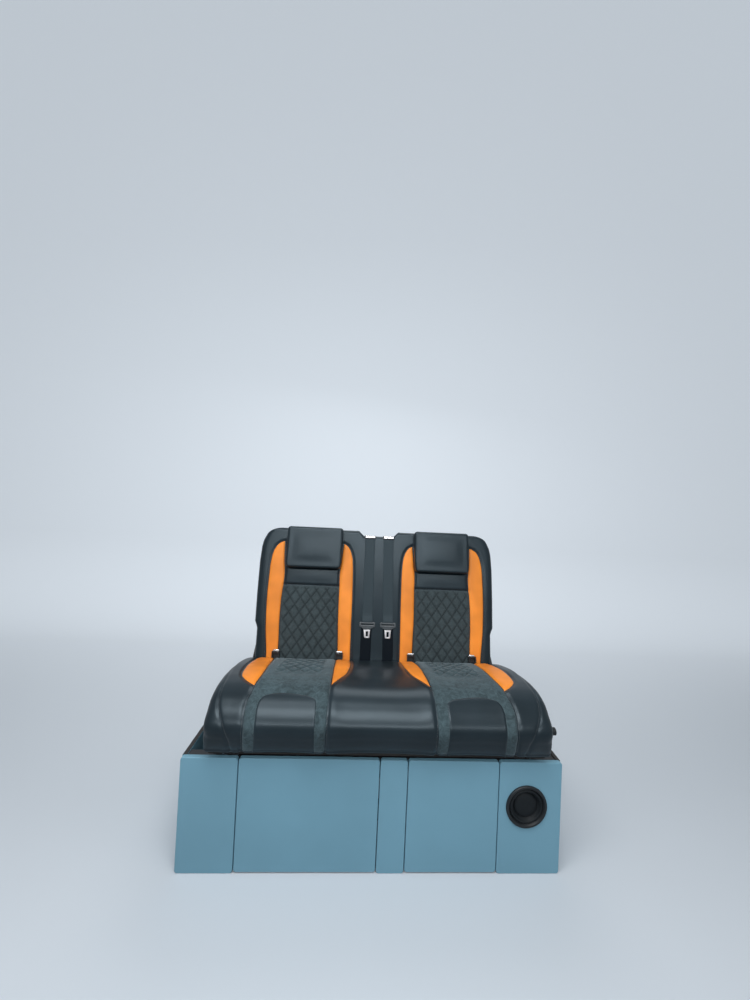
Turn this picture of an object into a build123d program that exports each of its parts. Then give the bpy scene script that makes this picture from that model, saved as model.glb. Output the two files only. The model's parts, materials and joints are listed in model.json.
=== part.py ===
from build123d import *
import os
from math import cos, radians, sin

os.makedirs("parts", exist_ok=True)


def keep(piece, name):
    """Label a finished sub-part and write it to its own file."""
    piece.part.label = name
    export_step(piece.part, f"parts/{name}.step")


# A camper van's double bench seat, which slides forward and folds flat to a bed, on its seat base.
# Frame: X to the right and Z up as the seat is looked at from the front, Y towards its back.
# The origin is on the floor at the centre of the four floor bolts, and the seat is centred on X.
# All sizes are in millimetres, and angles in degrees.

# Front of the base, from left to right
left_panel_w = 181
left_door_w = 460
stile_w = 90
right_door_w = 308
right_panel_w = 211
base_shift = -12
front_h = 364
board_t = 15
door_gap = 5.5
door_lift = 4
corner_r = 9
edge_r = 1.5

# Steel frame under the seat
bolt_hole_r = 5.5
bolt_to_leg = 45
leg_size = 40
leg_x = 480
foot_t = 6
foot_w = 115
foot_d = 70
front_to_leg = 90
tube_size = 25
tube_gap = 5
tube_wall = 3
rear_tube_setback = 120
leg_to_rear_tube = 20
top_drop = 3
post_size = 28
partition_t = 12

# Runners: a fixed T rail and a sliding C rail that wraps its head
runner_lift = 5.5
rail_w = 45
rail_h = 12
rail_wall = 2.5
rail_end_gap = 7
rail_setback = 8
run_gap = 0.5
stem_w = 16
slot_gap = 2
flange_w = 38
flange_t = 3
runner_setback = 26
cross_bar_w = 25
cross_bar_setback = 52
pad_l = 40

# Seat pan and its tilt hinge at the front
seat_w = 1120
seat_depth = 525
overhang = 55
pad_t = 2.5
pan_t = 12
pan_inset = 8
pan_setback = 47
pan_rear_setback = 21
tilt_setback = 15
tilt_pin_r = 3.5
pin_clear = 0.3
lug_t = 6
lug_gap = 1

# Seat cushion, measured from the crease where it meets the backrest
crease_rise = 133
seat_rake = 11.8
soft_gap = 5
crown_forward = 220
crown_rise = 60
front_edge_back = 125
front_edge_rise = 75
nose_back = 39
nose_rise = 41
nose_front_drop = 17
lip_back = 8
lip_drop = 64
cushion_setback = 34
cushion_edge_r = 12

# Backrest and its hinge
recline = 13.7
back_front = 50
back_rear = 62
back_board_t = 12
back_h = 600
shoulder_r = 55
back_edge_r = 20
side_notch = 14
side_notch_h = 140
notch_w = 172
notch_slope = 28
notch_depth = 28
plate_t = 5
hinge_t = 6
hinge_gap = 1
hinge_r = 28
hinge_pin_r = 8
hinge_head_r = 13
hinge_head_t = 3
plate_h = 125
plate_foot_l = 130

# Headrests
rest_w = 258
rest_h = 185
rest_t = 45
rest_inset = 256
rest_drop = 14
rest_corner_r = 14
seat_clear = 0.3
strap_w = 230
strap_t = 3
strap_drop = 120

# Belts
belt_w = 48
belt_t = 2
belt_x = (-40, 54)
belt_end = 36
reel_w = 62
reel_h = 60
reel_d = 42
reel_drop = 15
tongue_base = 95
tongue_h = 40
tongue_w = 24
tongue_t = 3
tongue_bar_w = 70
tongue_bar_h = 20
tongue_bar_t = 9
tongue_slot_w = 12
tongue_slot_h = 20
guide_w = 56
guide_h = 11
guide_t = 9

# Child-seat anchors in the crease
anchor_spacing = 280
anchor_inset = 258
anchor_w = 34
anchor_t = 17
anchor_top = 30
anchor_wall = 4
anchor_pocket_h = 26
anchor_rod_r = 3
slot_l = 200
rail_tube = 24

# Speaker, release knob, bed rests and door hinges
speaker_h = 220
speaker_inset = 118
speaker_r = 69
speaker_hole_r = 60
speaker_rim_t = 7
speaker_depth = 42
cone_r = 56
dome_r = 14
dome_h = 4
knob_r = 12
knob_l = 22
knob_stem_l = 7
knob_back = 55
knob_drop = 28
rest_leg_x = 520
bed_clear = 5
cup_r = 17.5
cup_depth = 11
cup_wall = 2
cup_inset = 4
hinge_height = 90
arm_h = 16
arm_t = 6
catch_w = 14
catch_h = 50

# Places that follow from the sizes above
front_to_rear_tube = seat_depth - overhang + rear_tube_setback
bolt_spacing_x = 2 * (leg_x - bolt_to_leg)
bolt_spacing_y = front_to_rear_tube - leg_to_rear_tube - leg_size - front_to_leg
front_y = -(front_to_leg + leg_size / 2 + bolt_spacing_y / 2)
base_w = left_panel_w + left_door_w + stile_w + right_door_w + right_panel_w
base_left = base_shift - base_w / 2
base_right = base_left + base_w
door_1_left = base_left + left_panel_w
door_1_right = door_1_left + left_door_w
door_2_left = door_1_right + stile_w
door_2_right = door_2_left + right_door_w
inside_y = front_y + board_t
tube_y = inside_y + tube_gap
crease_y = front_y - overhang + seat_depth
rear_tube_y = front_y + front_to_rear_tube
rear_y = rear_tube_y + tube_size
frame_top = front_h - top_drop
tube_z = frame_top - tube_size
rear_leg_y = front_y + front_to_leg + bolt_spacing_y
rail_z = front_h + runner_lift
rail_top = rail_z + rail_h
rail_end_y = rear_y - rail_end_gap
rail_l = rail_end_y - rail_setback - front_y
pan_z = rail_top + pad_t
cushion_z = pan_z + pan_t
tilt_y = front_y + tilt_setback
tilt_z = rail_z + rail_h / 2
crease_h = front_h + crease_rise
pan_y = front_y - overhang + pan_setback

# Unit vectors in the Y-Z plane: along the backrest and out of its front, and out of the seat top
lean = radians(recline)
rake = radians(seat_rake)
back_up = Vector(0, sin(lean), cos(lean))
back_out = Vector(0, -cos(lean), sin(lean))
seat_out = Vector(0, sin(rake), cos(rake))
crease = Vector(0, crease_y, crease_h)

# The backrest's hinge lies as deep under the seat top as it lies behind the backrest's front,
# so that both surfaces come level when the backrest has turned down.
pivot = crease - (seat_out + back_out) * (back_front / (1 + seat_out.dot(back_out)))
crease_w = (crease - pivot).dot(back_up)
top_w = crease_w + back_h


def back_face(forward):
    """A plane parallel to the backrest's front: local x is X, local y runs up the backrest."""
    return Plane(origin=pivot + back_out * forward, x_dir=(1, 0, 0), z_dir=back_out)


def back_side(x):
    """The backrest's cross-section at x: local x points forward, local y runs up the backrest."""
    return Plane(origin=pivot + Vector(x, 0, 0), x_dir=back_out, z_dir=(-1, 0, 0))


# Front of the base: fixed panels and the stile between the doors
def front_board(left, right, bottom, top):
    """One board of the front, with rounded corners and softened front edges."""
    with BuildPart() as board:
        with BuildSketch(Plane.XZ.offset(-inside_y)):
            with Locations(((left + right) / 2, (bottom + top) / 2)):
                RectangleRounded(right - left, top - bottom, corner_r)
        extrude(amount=board_t)
        chamfer(board.faces().sort_by(Axis.Y)[0].edges(), edge_r)
    return board


front_panel_left = front_board(base_left, door_1_left, 0, front_h)
keep(front_panel_left, "front_panel_left")
centre_stile = front_board(door_1_right, door_2_left, 0, front_h)
keep(centre_stile, "centre_stile")

speaker_x = base_right - speaker_inset
with BuildPart() as front_panel_right:
    add(front_board(door_2_right, base_right, 0, front_h).part)
    with BuildSketch(Plane.XZ.offset(-inside_y)):
        with Locations((speaker_x, speaker_h)):
            Circle(speaker_hole_r)
    extrude(amount=board_t, mode=Mode.SUBTRACT)
keep(front_panel_right, "front_panel_right")

# Doors, each with two blind holes for the cups of its hinges
door_table = [
    # name, left edge of its opening, right edge
    ("left_door", door_1_left, door_1_right),
    ("right_door", door_2_left, door_2_right),
]
cup_centres_z = (hinge_height, front_h - hinge_height)
for door_name, opening_left, opening_right in door_table:
    door_left = opening_left + door_gap / 2
    door_right = opening_right - door_gap / 2
    cup_x = door_left + cup_inset + cup_r
    with BuildPart() as door:
        add(front_board(door_left, door_right, door_lift, front_h).part)
        with BuildSketch(Plane.XZ.offset(-inside_y)):
            with Locations(*[(cup_x, z) for z in cup_centres_z]):
                Circle(cup_r)
        extrude(amount=cup_depth, mode=Mode.SUBTRACT)
    keep(door, door_name)

    with BuildPart() as cups:
        with BuildSketch(Plane.XZ.offset(-inside_y)):
            with Locations(*[(cup_x, z) for z in cup_centres_z]):
                Circle(cup_r)
        extrude(amount=cup_depth)
        with BuildSketch(Plane.XZ.offset(-inside_y)):
            with Locations(*[(cup_x, z) for z in cup_centres_z]):
                Circle(cup_r - cup_wall)
        extrude(amount=cup_depth - cup_wall, mode=Mode.SUBTRACT)
    keep(cups, f"{door_name}_hinge_cups")

# Posts behind the front boards, which stand beside the door openings
post_lefts = (
    door_1_left - run_gap - door_gap / 2 - post_size,
    door_1_right + door_gap / 2,
    door_2_left - run_gap - door_gap / 2 - post_size,
    door_2_right + door_gap / 2,
)
with BuildPart() as posts:
    for post_left in post_lefts:
        with Locations((post_left, inside_y, 0)):
            Box(post_size, tube_gap + tube_size, tube_z, align=Align.MIN)
keep(posts, "posts")

# Hinge arms, which reach from the posts over the cups in the doors
with BuildPart() as hinge_arms:
    for post_left, opening_left in ((post_lefts[0], door_1_left), (post_lefts[2], door_2_left)):
        arm_left = post_left + post_size
        arm_end = opening_left + door_gap / 2 + cup_inset + cup_r
        for z in cup_centres_z:
            with Locations((arm_left, inside_y + run_gap, z - arm_h / 2)):
                Box(arm_end - arm_left, arm_t, arm_h, align=Align.MIN)
keep(hinge_arms, "hinge_arms")

# Push catches on the posts, behind the free edges of the doors
with BuildPart() as door_catches:
    for post_left in (post_lefts[1], post_lefts[3]):
        with Locations((post_left - catch_w, inside_y + run_gap, front_h / 2 - catch_h / 2)):
            Box(catch_w, tube_gap + tube_size - run_gap, catch_h, align=Align.MIN)
keep(door_catches, "door_catches")

# Side, rear and dividing boards
side_table = [
    # name, left face, thickness
    ("side_panel_left", base_left, board_t),
    ("side_panel_right", base_right - board_t, board_t),
]
for panel_name, panel_left, panel_t in side_table:
    with BuildPart() as panel:
        with Locations((panel_left, inside_y, 0)):
            Box(panel_t, rear_y - inside_y, front_h, align=Align.MIN)
        chamfer(panel.faces().sort_by(Axis.Z)[-1].edges().filter_by(Axis.Y), edge_r)
    keep(panel, panel_name)

with BuildPart() as back_panel:
    with Locations((base_left, rear_y, 0)):
        Box(base_w, partition_t, frame_top, align=Align.MIN)
keep(back_panel, "back_panel")

partition_left = (post_lefts[1] + post_lefts[2] + post_size) / 2 - partition_t / 2
with BuildPart() as partition:
    with Locations((partition_left, inside_y, 0)):
        Box(partition_t, rear_y - inside_y, tube_z - tube_gap, align=Align.MIN)
keep(partition, "partition")

# Steel side frames: two legs between a top and a bottom tube
frame_front = tube_y + tube_size
front_leg_y = front_y + front_to_leg
for frame_name, side in (("side_frame_left", -1), ("side_frame_right", 1)):
    frame_x = side * leg_x - leg_size / 2
    with BuildPart() as side_frame:
        with Locations((frame_x, frame_front, frame_top - leg_size)):
            Box(leg_size, rear_tube_y - frame_front, leg_size, align=Align.MIN)
        with Locations((frame_x, front_leg_y, foot_t)):
            Box(leg_size, rear_leg_y + leg_size - front_leg_y, leg_size, align=Align.MIN)
        for leg_y in (front_leg_y, rear_leg_y):
            with Locations((frame_x, leg_y, foot_t)):
                Box(leg_size, leg_size, frame_top - foot_t, align=Align.MIN)
        chamfer(side_frame.edges().filter_by(Axis.Y), tube_wall)
    keep(side_frame, frame_name)

# Foot plates with the floor bolts' holes
with BuildPart() as foot_plates:
    for side in (-1, 1):
        for leg_y in (front_leg_y, rear_leg_y):
            outer_x = side * (leg_x + leg_size / 2)
            plate_x = outer_x - side * foot_w / 2
            with BuildSketch(Plane.XY):
                with Locations((plate_x, leg_y + leg_size / 2)):
                    Rectangle(foot_w, foot_d)
                with Locations((side * bolt_spacing_x / 2, leg_y + leg_size / 2)):
                    Circle(bolt_hole_r, mode=Mode.SUBTRACT)
            extrude(amount=foot_t)
keep(foot_plates, "foot_plates")

# Cross tubes at the front and the rear, square steel tube that is open at its ends
inner_left = base_left + board_t
inner_w = base_w - 2 * board_t
with BuildPart() as cross_tubes:
    for cross_y in (tube_y, rear_tube_y):
        with Locations((inner_left, cross_y, tube_z)):
            Box(inner_w, tube_size, tube_size, align=Align.MIN)
        with Locations((inner_left, cross_y + tube_wall, tube_z + tube_wall)):
            bore = tube_size - 2 * tube_wall
            Box(inner_w, bore, bore, align=Align.MIN, mode=Mode.SUBTRACT)
keep(cross_tubes, "cross_tubes")

# Fixed runners: a flange, a stem and a head, drawn as one section
head_w = rail_w - 2 * rail_wall - 2 * run_gap
head_z = rail_z + rail_wall + run_gap
head_top = rail_top - rail_wall - run_gap
with BuildPart() as fixed_runners:
    for side in (-1, 1):
        with BuildSketch(Plane.XZ.offset(-front_y - runner_setback)):
            with Locations((side * leg_x, frame_top + flange_t / 2)):
                Rectangle(flange_w, flange_t)
            with Locations((side * leg_x, (frame_top + head_top) / 2)):
                Rectangle(stem_w, head_top - frame_top)
            with Locations((side * leg_x, (head_z + head_top) / 2)):
                Rectangle(head_w, head_top - head_z)
        extrude(amount=-(rear_tube_y - runner_setback - front_y))
keep(fixed_runners, "fixed_runners")

# Sliding rails: a C section with its slot downwards, which wraps the runner's head
with BuildPart() as sliding_rails:
    for side in (-1, 1):
        with BuildSketch(Plane.XZ.offset(-front_y - rail_setback)):
            with Locations((side * leg_x, rail_z + rail_h / 2)):
                Rectangle(rail_w, rail_h)
                Rectangle(rail_w - 2 * rail_wall, rail_h - 2 * rail_wall, mode=Mode.SUBTRACT)
            with Locations((side * leg_x, rail_z + rail_wall / 2)):
                Rectangle(stem_w + 2 * slot_gap, rail_wall, mode=Mode.SUBTRACT)
        extrude(amount=-rail_l)
    with BuildSketch(Plane.YZ):
        with Locations((tilt_y, tilt_z)):
            Circle(tilt_pin_r + pin_clear)
    extrude(amount=seat_w / 2, both=True, mode=Mode.SUBTRACT)
keep(sliding_rails, "sliding_rails")

# Cross bars that join the sliding rails, and the pads that the seat pan rests on
bar_half = leg_x - rail_w / 2
rear_bar_y = rail_end_y - cross_bar_w
with BuildPart() as carriage_bars:
    for bar_y in (front_y + rail_setback + cross_bar_setback, rear_bar_y):
        with Locations((-bar_half, bar_y, rail_z)):
            Box(2 * bar_half, cross_bar_w, rail_h, align=Align.MIN)
keep(carriage_bars, "carriage_bars")

pan_rear_y = crease_y - pan_rear_setback
with BuildPart() as pan_pads:
    for side in (-1, 1):
        with Locations((side * leg_x, pan_rear_y - pad_l, rail_top + pad_t / 2)):
            Box(rail_w - 2 * rail_wall, pad_l, pad_t)
keep(pan_pads, "pan_pads")

# Seat pan, with the lugs and pins of its tilt hinge
pan_half = seat_w / 2 - pan_inset
with BuildPart() as seat_pan:
    with Locations((-pan_half, pan_y, pan_z)):
        Box(2 * pan_half, pan_rear_y - pan_y, pan_t, align=Align.MIN)
    fillet(seat_pan.edges().filter_by(Axis.Z).group_by(Axis.Y)[0], corner_r)
keep(seat_pan, "seat_pan")

lug_x = leg_x + rail_w / 2 + lug_gap
lug_r = rail_h / 2
with BuildPart() as tilt_lugs:
    for side in (-1, 1):
        with BuildSketch(Plane.YZ.offset(side * (lug_x + lug_t / 2))):
            with Locations((tilt_y, tilt_z)):
                Circle(lug_r)
            with Locations((tilt_y, (tilt_z + pan_z) / 2)):
                Rectangle(2 * lug_r, pan_z - tilt_z)
        extrude(amount=lug_t / 2, both=True)
        with BuildSketch(Plane.YZ.offset(side * (lug_x + lug_t))):
            with Locations((tilt_y, tilt_z)):
                Circle(tilt_pin_r)
        extrude(amount=-side * (lug_t + lug_gap + rail_wall))
keep(tilt_lugs, "tilt_lugs")

# Seat cushion: one outline from the side, with slots for the anchor guides and a rebate for their rail
clear_y = pivot.Y - back_front - soft_gap
anchor_rail_y = clear_y - rail_tube
rail_front_y = anchor_rail_y - seat_clear
rebate_z = cushion_z + rail_tube + seat_clear
rear_top = crease + Vector(0, -cos(rake), sin(rake)) * (soft_gap / cos(rake - lean))
rear_low = pivot + back_out * (back_front + soft_gap)
hinge_front_y = rear_low.Y + seat_clear


def from_nose(back, rise):
    """A point of the cushion's outline, measured back from its nose and up from the crease."""
    return (front_y - overhang + back, crease_h + rise)


anchor_x = seat_w / 2 - anchor_inset
anchor_centres = [side * anchor_x + half * anchor_spacing / 2 for side in (-1, 1) for half in (-1, 1)]
with BuildPart() as seat_cushion:
    with BuildSketch(Plane.YZ):
        with BuildLine():
            top = ThreePointArc(
                (rear_top.Y, rear_top.Z),
                (crease_y - crown_forward, crease_h + crown_rise),
                from_nose(front_edge_back, front_edge_rise),
            )
            nose = ThreePointArc(
                top @ 1,
                from_nose(nose_back, nose_rise),
                from_nose(0, -nose_front_drop),
            )
            lip = ThreePointArc(
                nose @ 1,
                from_nose(lip_back, -lip_drop),
                (front_y - overhang + cushion_setback, cushion_z),
            )
            Polyline(
                lip @ 1,
                (rail_front_y, cushion_z),
                (rail_front_y, rebate_z),
                (rear_low.Y, rebate_z),
                (rear_low.Y, rear_low.Z),
                top @ 0,
            )
        make_face()
    extrude(amount=seat_w / 2, both=True)
    side_edges = seat_cushion.faces().filter_by(Axis.X).edges().filter_by(GeomType.CIRCLE)
    chamfer(side_edges, cushion_edge_r)
    slot_w = anchor_w + 2 * seat_clear
    for anchor_centre in anchor_centres:
        with BuildSketch(back_side(anchor_centre)):
            with Locations((back_front + soft_gap, -back_front)):
                Rectangle(anchor_t + soft_gap, slot_l, align=(Align.MIN, Align.MIN))
        extrude(amount=slot_w / 2, both=True, mode=Mode.SUBTRACT)
keep(seat_cushion, "seat_cushion")

# Release knob at the right of the cushion
with BuildPart() as release_knob:
    knob_plane = Plane.YZ.offset(seat_w / 2 + seat_clear)
    with BuildSketch(knob_plane):
        with Locations((front_y - overhang + knob_back, crease_h - knob_drop)):
            Circle(knob_r / 2)
    extrude(amount=knob_l)
    with BuildSketch(knob_plane.offset(knob_stem_l)):
        with Locations((front_y - overhang + knob_back, crease_h - knob_drop)):
            Circle(knob_r)
    extrude(amount=knob_l - knob_stem_l)
keep(release_knob, "release_knob")

# Rail behind the cushion that carries the child-seat anchors, and their guides with the rods
with BuildPart() as anchor_rail:
    with Locations((-pan_half, anchor_rail_y, cushion_z)):
        Box(2 * pan_half, rail_tube, rail_tube, align=Align.MIN)
    fillet(anchor_rail.edges().filter_by(Axis.X), tube_wall)
keep(anchor_rail, "anchor_rail")

guide_n = back_front + soft_gap + seat_clear
guide_top = crease_w + anchor_top
rail_top_z = cushion_z + rail_tube


def height_on_back(n, z):
    """How far up the backrest a point lies that is n in front of the hinge and at height z."""
    return (z - pivot.Z - n * sin(lean)) / cos(lean)


with BuildPart() as anchor_guides:
    for anchor_centre in anchor_centres:
        with BuildSketch(back_side(anchor_centre)):
            with BuildLine():
                Polyline(
                    (guide_n, height_on_back(guide_n, rail_top_z)),
                    (guide_n + anchor_t, height_on_back(guide_n + anchor_t, rail_top_z)),
                    (guide_n + anchor_t, guide_top),
                    (guide_n, guide_top),
                    close=True,
                )
            make_face()
        extrude(amount=anchor_w / 2, both=True)
        with BuildSketch(back_side(anchor_centre)):
            with Locations((guide_n + anchor_wall, guide_top - anchor_pocket_h - anchor_wall)):
                Rectangle(anchor_t, anchor_pocket_h, align=(Align.MIN, Align.MIN))
        extrude(amount=anchor_w / 2 - anchor_wall, both=True, mode=Mode.SUBTRACT)
keep(anchor_guides, "anchor_guides")

with BuildPart() as anchor_rods:
    for anchor_centre in anchor_centres:
        with BuildSketch(back_side(anchor_centre)):
            with Locations((guide_n + anchor_t / 2, guide_top - anchor_wall - anchor_rod_r)):
                Circle(anchor_rod_r)
        extrude(amount=anchor_w / 2 - anchor_wall, both=True)
keep(anchor_rods, "anchor_rods")

# Hinge plates of the backrest: the outer pair stands on the seat pan and holds the pins
outer_plate_x = seat_w / 2 - side_notch + seat_clear + plate_t + hinge_gap
for plate_name, side in (("seat_hinge_left", -1), ("seat_hinge_right", 1)):
    with BuildPart() as seat_hinge:
        with BuildSketch(Plane.YZ.offset(side * outer_plate_x)):
            with BuildLine():
                Polyline(
                    (pan_rear_y - plate_foot_l, pan_z),
                    (pivot.Y + hinge_r, pan_z),
                    (pivot.Y + hinge_r, pivot.Z),
                    (hinge_front_y, pivot.Z),
                    (hinge_front_y, cushion_z - seat_clear),
                    (pan_rear_y - plate_foot_l, cushion_z - seat_clear),
                    close=True,
                )
            make_face()
            with Locations((pivot.Y, pivot.Z)):
                Circle(hinge_r)
        extrude(amount=side * hinge_t)
        with BuildSketch(Plane.YZ.offset(side * (outer_plate_x + hinge_t))):
            with Locations((pivot.Y, pivot.Z)):
                Circle(hinge_head_r)
        extrude(amount=side * hinge_head_t)
        with BuildSketch(Plane.YZ.offset(side * outer_plate_x)):
            with Locations((pivot.Y, pivot.Z)):
                Circle(hinge_pin_r)
        extrude(amount=-side * (hinge_gap + plate_t))
    keep(seat_hinge, plate_name)

# The inner pair is fixed to the backrest's board
inner_plate_x = seat_w / 2 - side_notch + seat_clear
for plate_name, side in (("back_hinge_left", -1), ("back_hinge_right", 1)):
    with BuildPart() as back_hinge:
        with BuildSketch(back_side(side * inner_plate_x)):
            with BuildLine():
                Polyline(
                    (-back_rear, hinge_r),
                    (0, -hinge_r),
                    (hinge_r, 0),
                    (hinge_r, hinge_r),
                    (-back_rear / 2, plate_h),
                    (-back_rear, plate_h),
                    close=True,
                )
            make_face()
            Circle(hinge_r)
            Circle(hinge_pin_r + pin_clear, mode=Mode.SUBTRACT)
        extrude(amount=-side * plate_t)
    keep(back_hinge, plate_name)


# Backrest outline from the front: narrower beside the hinge, round shoulders, a notch for the belts
def back_outline(bottom_w, inset):
    """The backrest's outline as a closed face, from bottom_w up, drawn inset from its edge."""
    half = seat_w / 2 - inset
    low_half = half - side_notch
    notch_top = crease_w + side_notch_h
    top = top_w - inset
    floor = top_w - notch_depth - inset
    with BuildSketch() as outline:
        with BuildLine():
            Polyline(
                (0, bottom_w), (low_half, bottom_w), (low_half, notch_top - side_notch),
                (half, notch_top + side_notch), (half, top - shoulder_r),
            )
            RadiusArc((half, top - shoulder_r), (half - shoulder_r, top), -shoulder_r)
            Polyline(
                (half - shoulder_r, top), (notch_w / 2 + notch_slope, top),
                (notch_w / 2, floor), (0, floor),
            )
            mirror(about=Plane.YZ)
        make_face()
    return outline.sketch


with BuildPart() as back_board:
    with BuildSketch(back_face(-back_rear)):
        add(back_outline(back_front / 2, 0))
    extrude(amount=back_board_t)
keep(back_board, "back_board")

with BuildPart() as back_cushion:
    with BuildSketch(back_face(-back_rear + back_board_t)):
        add(back_outline(0, 0))
    extrude(amount=back_rear - back_board_t + back_front)
    fillet(back_cushion.faces().sort_by(SortBy.AREA)[-1].edges().group_by(Axis.Z)[-1], back_edge_r)
    with BuildSketch(back_side(0)):
        with BuildLine():
            RadiusArc((-back_front, 0), (back_front, 0), -back_front)
            Line((back_front, 0), (-back_front, 0))
        make_face()
    extrude(amount=seat_w / 2 - side_notch, both=True)
keep(back_cushion, "back_cushion")

# Headrest pads and the straps that hold them over the top of the backrest
rest_x = seat_w / 2 - rest_inset
rest_w0 = top_w - rest_drop - rest_h
for pad_name, side in (("headrest_left", -1), ("headrest_right", 1)):
    with BuildPart() as headrest:
        with BuildSketch(back_face(back_front + seat_clear)):
            with Locations((side * rest_x, rest_w0 + rest_h / 2)):
                Rectangle(rest_w, rest_h)
        extrude(amount=rest_t)
        chamfer(headrest.faces().sort_by(Axis.Y)[0].edges(), rest_corner_r)
    keep(headrest, pad_name)

strap_n = -back_rear - seat_clear
strap_w0 = top_w + seat_clear
with BuildPart() as headrest_straps:
    for side in (-1, 1):
        with BuildSketch(back_side(side * rest_x)):
            with BuildLine():
                Polyline(
                    (back_front + seat_clear + rest_t / 2, rest_w0 + rest_h),
                    (back_front + seat_clear + rest_t / 2, strap_w0 + strap_t),
                    (strap_n - strap_t, strap_w0 + strap_t),
                    (strap_n - strap_t, top_w - strap_drop),
                    (strap_n, top_w - strap_drop),
                    (strap_n, strap_w0),
                    (back_front + seat_clear + rest_t / 2 - strap_t, strap_w0),
                    (back_front + seat_clear + rest_t / 2 - strap_t, rest_w0 + rest_h),
                    close=True,
                )
            make_face()
        extrude(amount=strap_w / 2, both=True)
keep(headrest_straps, "headrest_straps")

# Belts: each runs from its reel behind the board, over the notch and down the front to the crease
belt_n = back_front + seat_clear
floor_w = top_w - notch_depth + seat_clear
reel_top = top_w - notch_depth - reel_drop
for belt_name, centre in (("belt_left", belt_x[0]), ("belt_right", belt_x[1])):
    with BuildPart() as belt:
        with BuildSketch(back_side(centre)):
            with BuildLine():
                Polyline(
                    (belt_n, crease_w - belt_end),
                    (belt_n + belt_t, crease_w - belt_end),
                    (belt_n + belt_t, floor_w + belt_t),
                    (strap_n - belt_t, floor_w + belt_t),
                    (strap_n - belt_t, reel_top),
                    (strap_n, reel_top),
                    (strap_n, floor_w),
                    (belt_n, floor_w),
                    close=True,
                )
            make_face()
        extrude(amount=belt_w / 2, both=True)
    keep(belt, belt_name)

with BuildPart() as belt_reels:
    for centre in belt_x:
        with BuildSketch(back_side(centre)):
            with Locations((strap_n, reel_top)):
                Rectangle(reel_d, reel_h, align=(Align.MAX, Align.MAX))
        extrude(amount=reel_w / 2, both=True)
    fillet(belt_reels.edges().filter_by(Axis.X).group_by(Axis.Y)[-2:], corner_r)
keep(belt_reels, "belt_reels")

with BuildPart() as belt_guides:
    for centre in belt_x:
        with BuildSketch(back_face(belt_n + belt_t)):
            with Locations((centre, floor_w - guide_h)):
                Rectangle(guide_w, guide_h)
        extrude(amount=guide_t)
keep(belt_guides, "belt_guides")

with BuildPart() as belt_tongues:
    for centre in belt_x:
        with BuildSketch(back_face(belt_n + belt_t)):
            with Locations((centre, crease_w + tongue_base + tongue_h / 2)):
                Rectangle(tongue_w, tongue_h)
                Rectangle(tongue_slot_w, tongue_slot_h, mode=Mode.SUBTRACT)
        extrude(amount=tongue_t)
        with BuildSketch(back_face(belt_n + belt_t)):
            with Locations((centre, crease_w + tongue_base + tongue_h + tongue_bar_h / 2)):
                Rectangle(tongue_bar_w, tongue_bar_h)
        extrude(amount=tongue_bar_t)
keep(belt_tongues, "belt_tongues")

# Speaker in the right front panel: rim and basket, and the cone inside it
speaker_axis = Axis((speaker_x, front_y, speaker_h), (0, 1, 0))
speaker_plane = Plane(origin=(speaker_x, front_y, speaker_h), x_dir=(1, 0, 0), z_dir=(0, 0, 1))
with BuildPart() as speaker_basket:
    with BuildSketch(speaker_plane):
        with BuildLine():
            Polyline(
                (cone_r + seat_clear, -speaker_rim_t),
                (speaker_r, -speaker_rim_t),
                (speaker_r, 0),
                (cone_r + seat_clear, 0),
                close=True,
            )
        make_face()
    revolve(axis=speaker_axis)
keep(speaker_basket, "speaker_basket")

with BuildPart() as speaker_cone:
    with BuildSketch(speaker_plane):
        with BuildLine():
            Polyline(
                (0, board_t - dome_h),
                (dome_r, board_t),
                (cone_r, 0),
                (cone_r, speaker_depth),
                (0, speaker_depth),
                close=True,
            )
        make_face()
    revolve(axis=speaker_axis)
keep(speaker_cone, "speaker_cone")

# Rests at the rear of the base, which carry the backrest's top end when it lies flat
lifted = pivot - Vector(0, tilt_y, tilt_z)
bed_underside = tilt_z + lifted.Y * sin(rake) + lifted.Z * cos(rake) - back_rear
with BuildPart() as bed_rests:
    for side in (-1, 1):
        with Locations((side * rest_leg_x - tube_size / 2, rear_tube_y, frame_top)):
            Box(tube_size, tube_size, bed_underside - bed_clear - frame_top, align=Align.MIN)
keep(bed_rests, "bed_rests")
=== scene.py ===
# %% [markdown]
# A bench seat from a camper van, dressed over its CAD frame. The seat slides forward and folds flat to a
# bed. CAD holds its steel, boards and hinges. Here it gets what an upholsterer and a cabinet maker add:
# foam that swells between seams, panels of leather and suede, quilting, webbing, and a finish on every
# board and bracket. Sizes are in metres, as in the frame, but lines that are drawn on a cushion are in
# millimetres until they are scaled.

# %% Load the packed frame
import json
import math

import bpy
import numpy as np
from mathutils import Matrix, Vector


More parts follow.
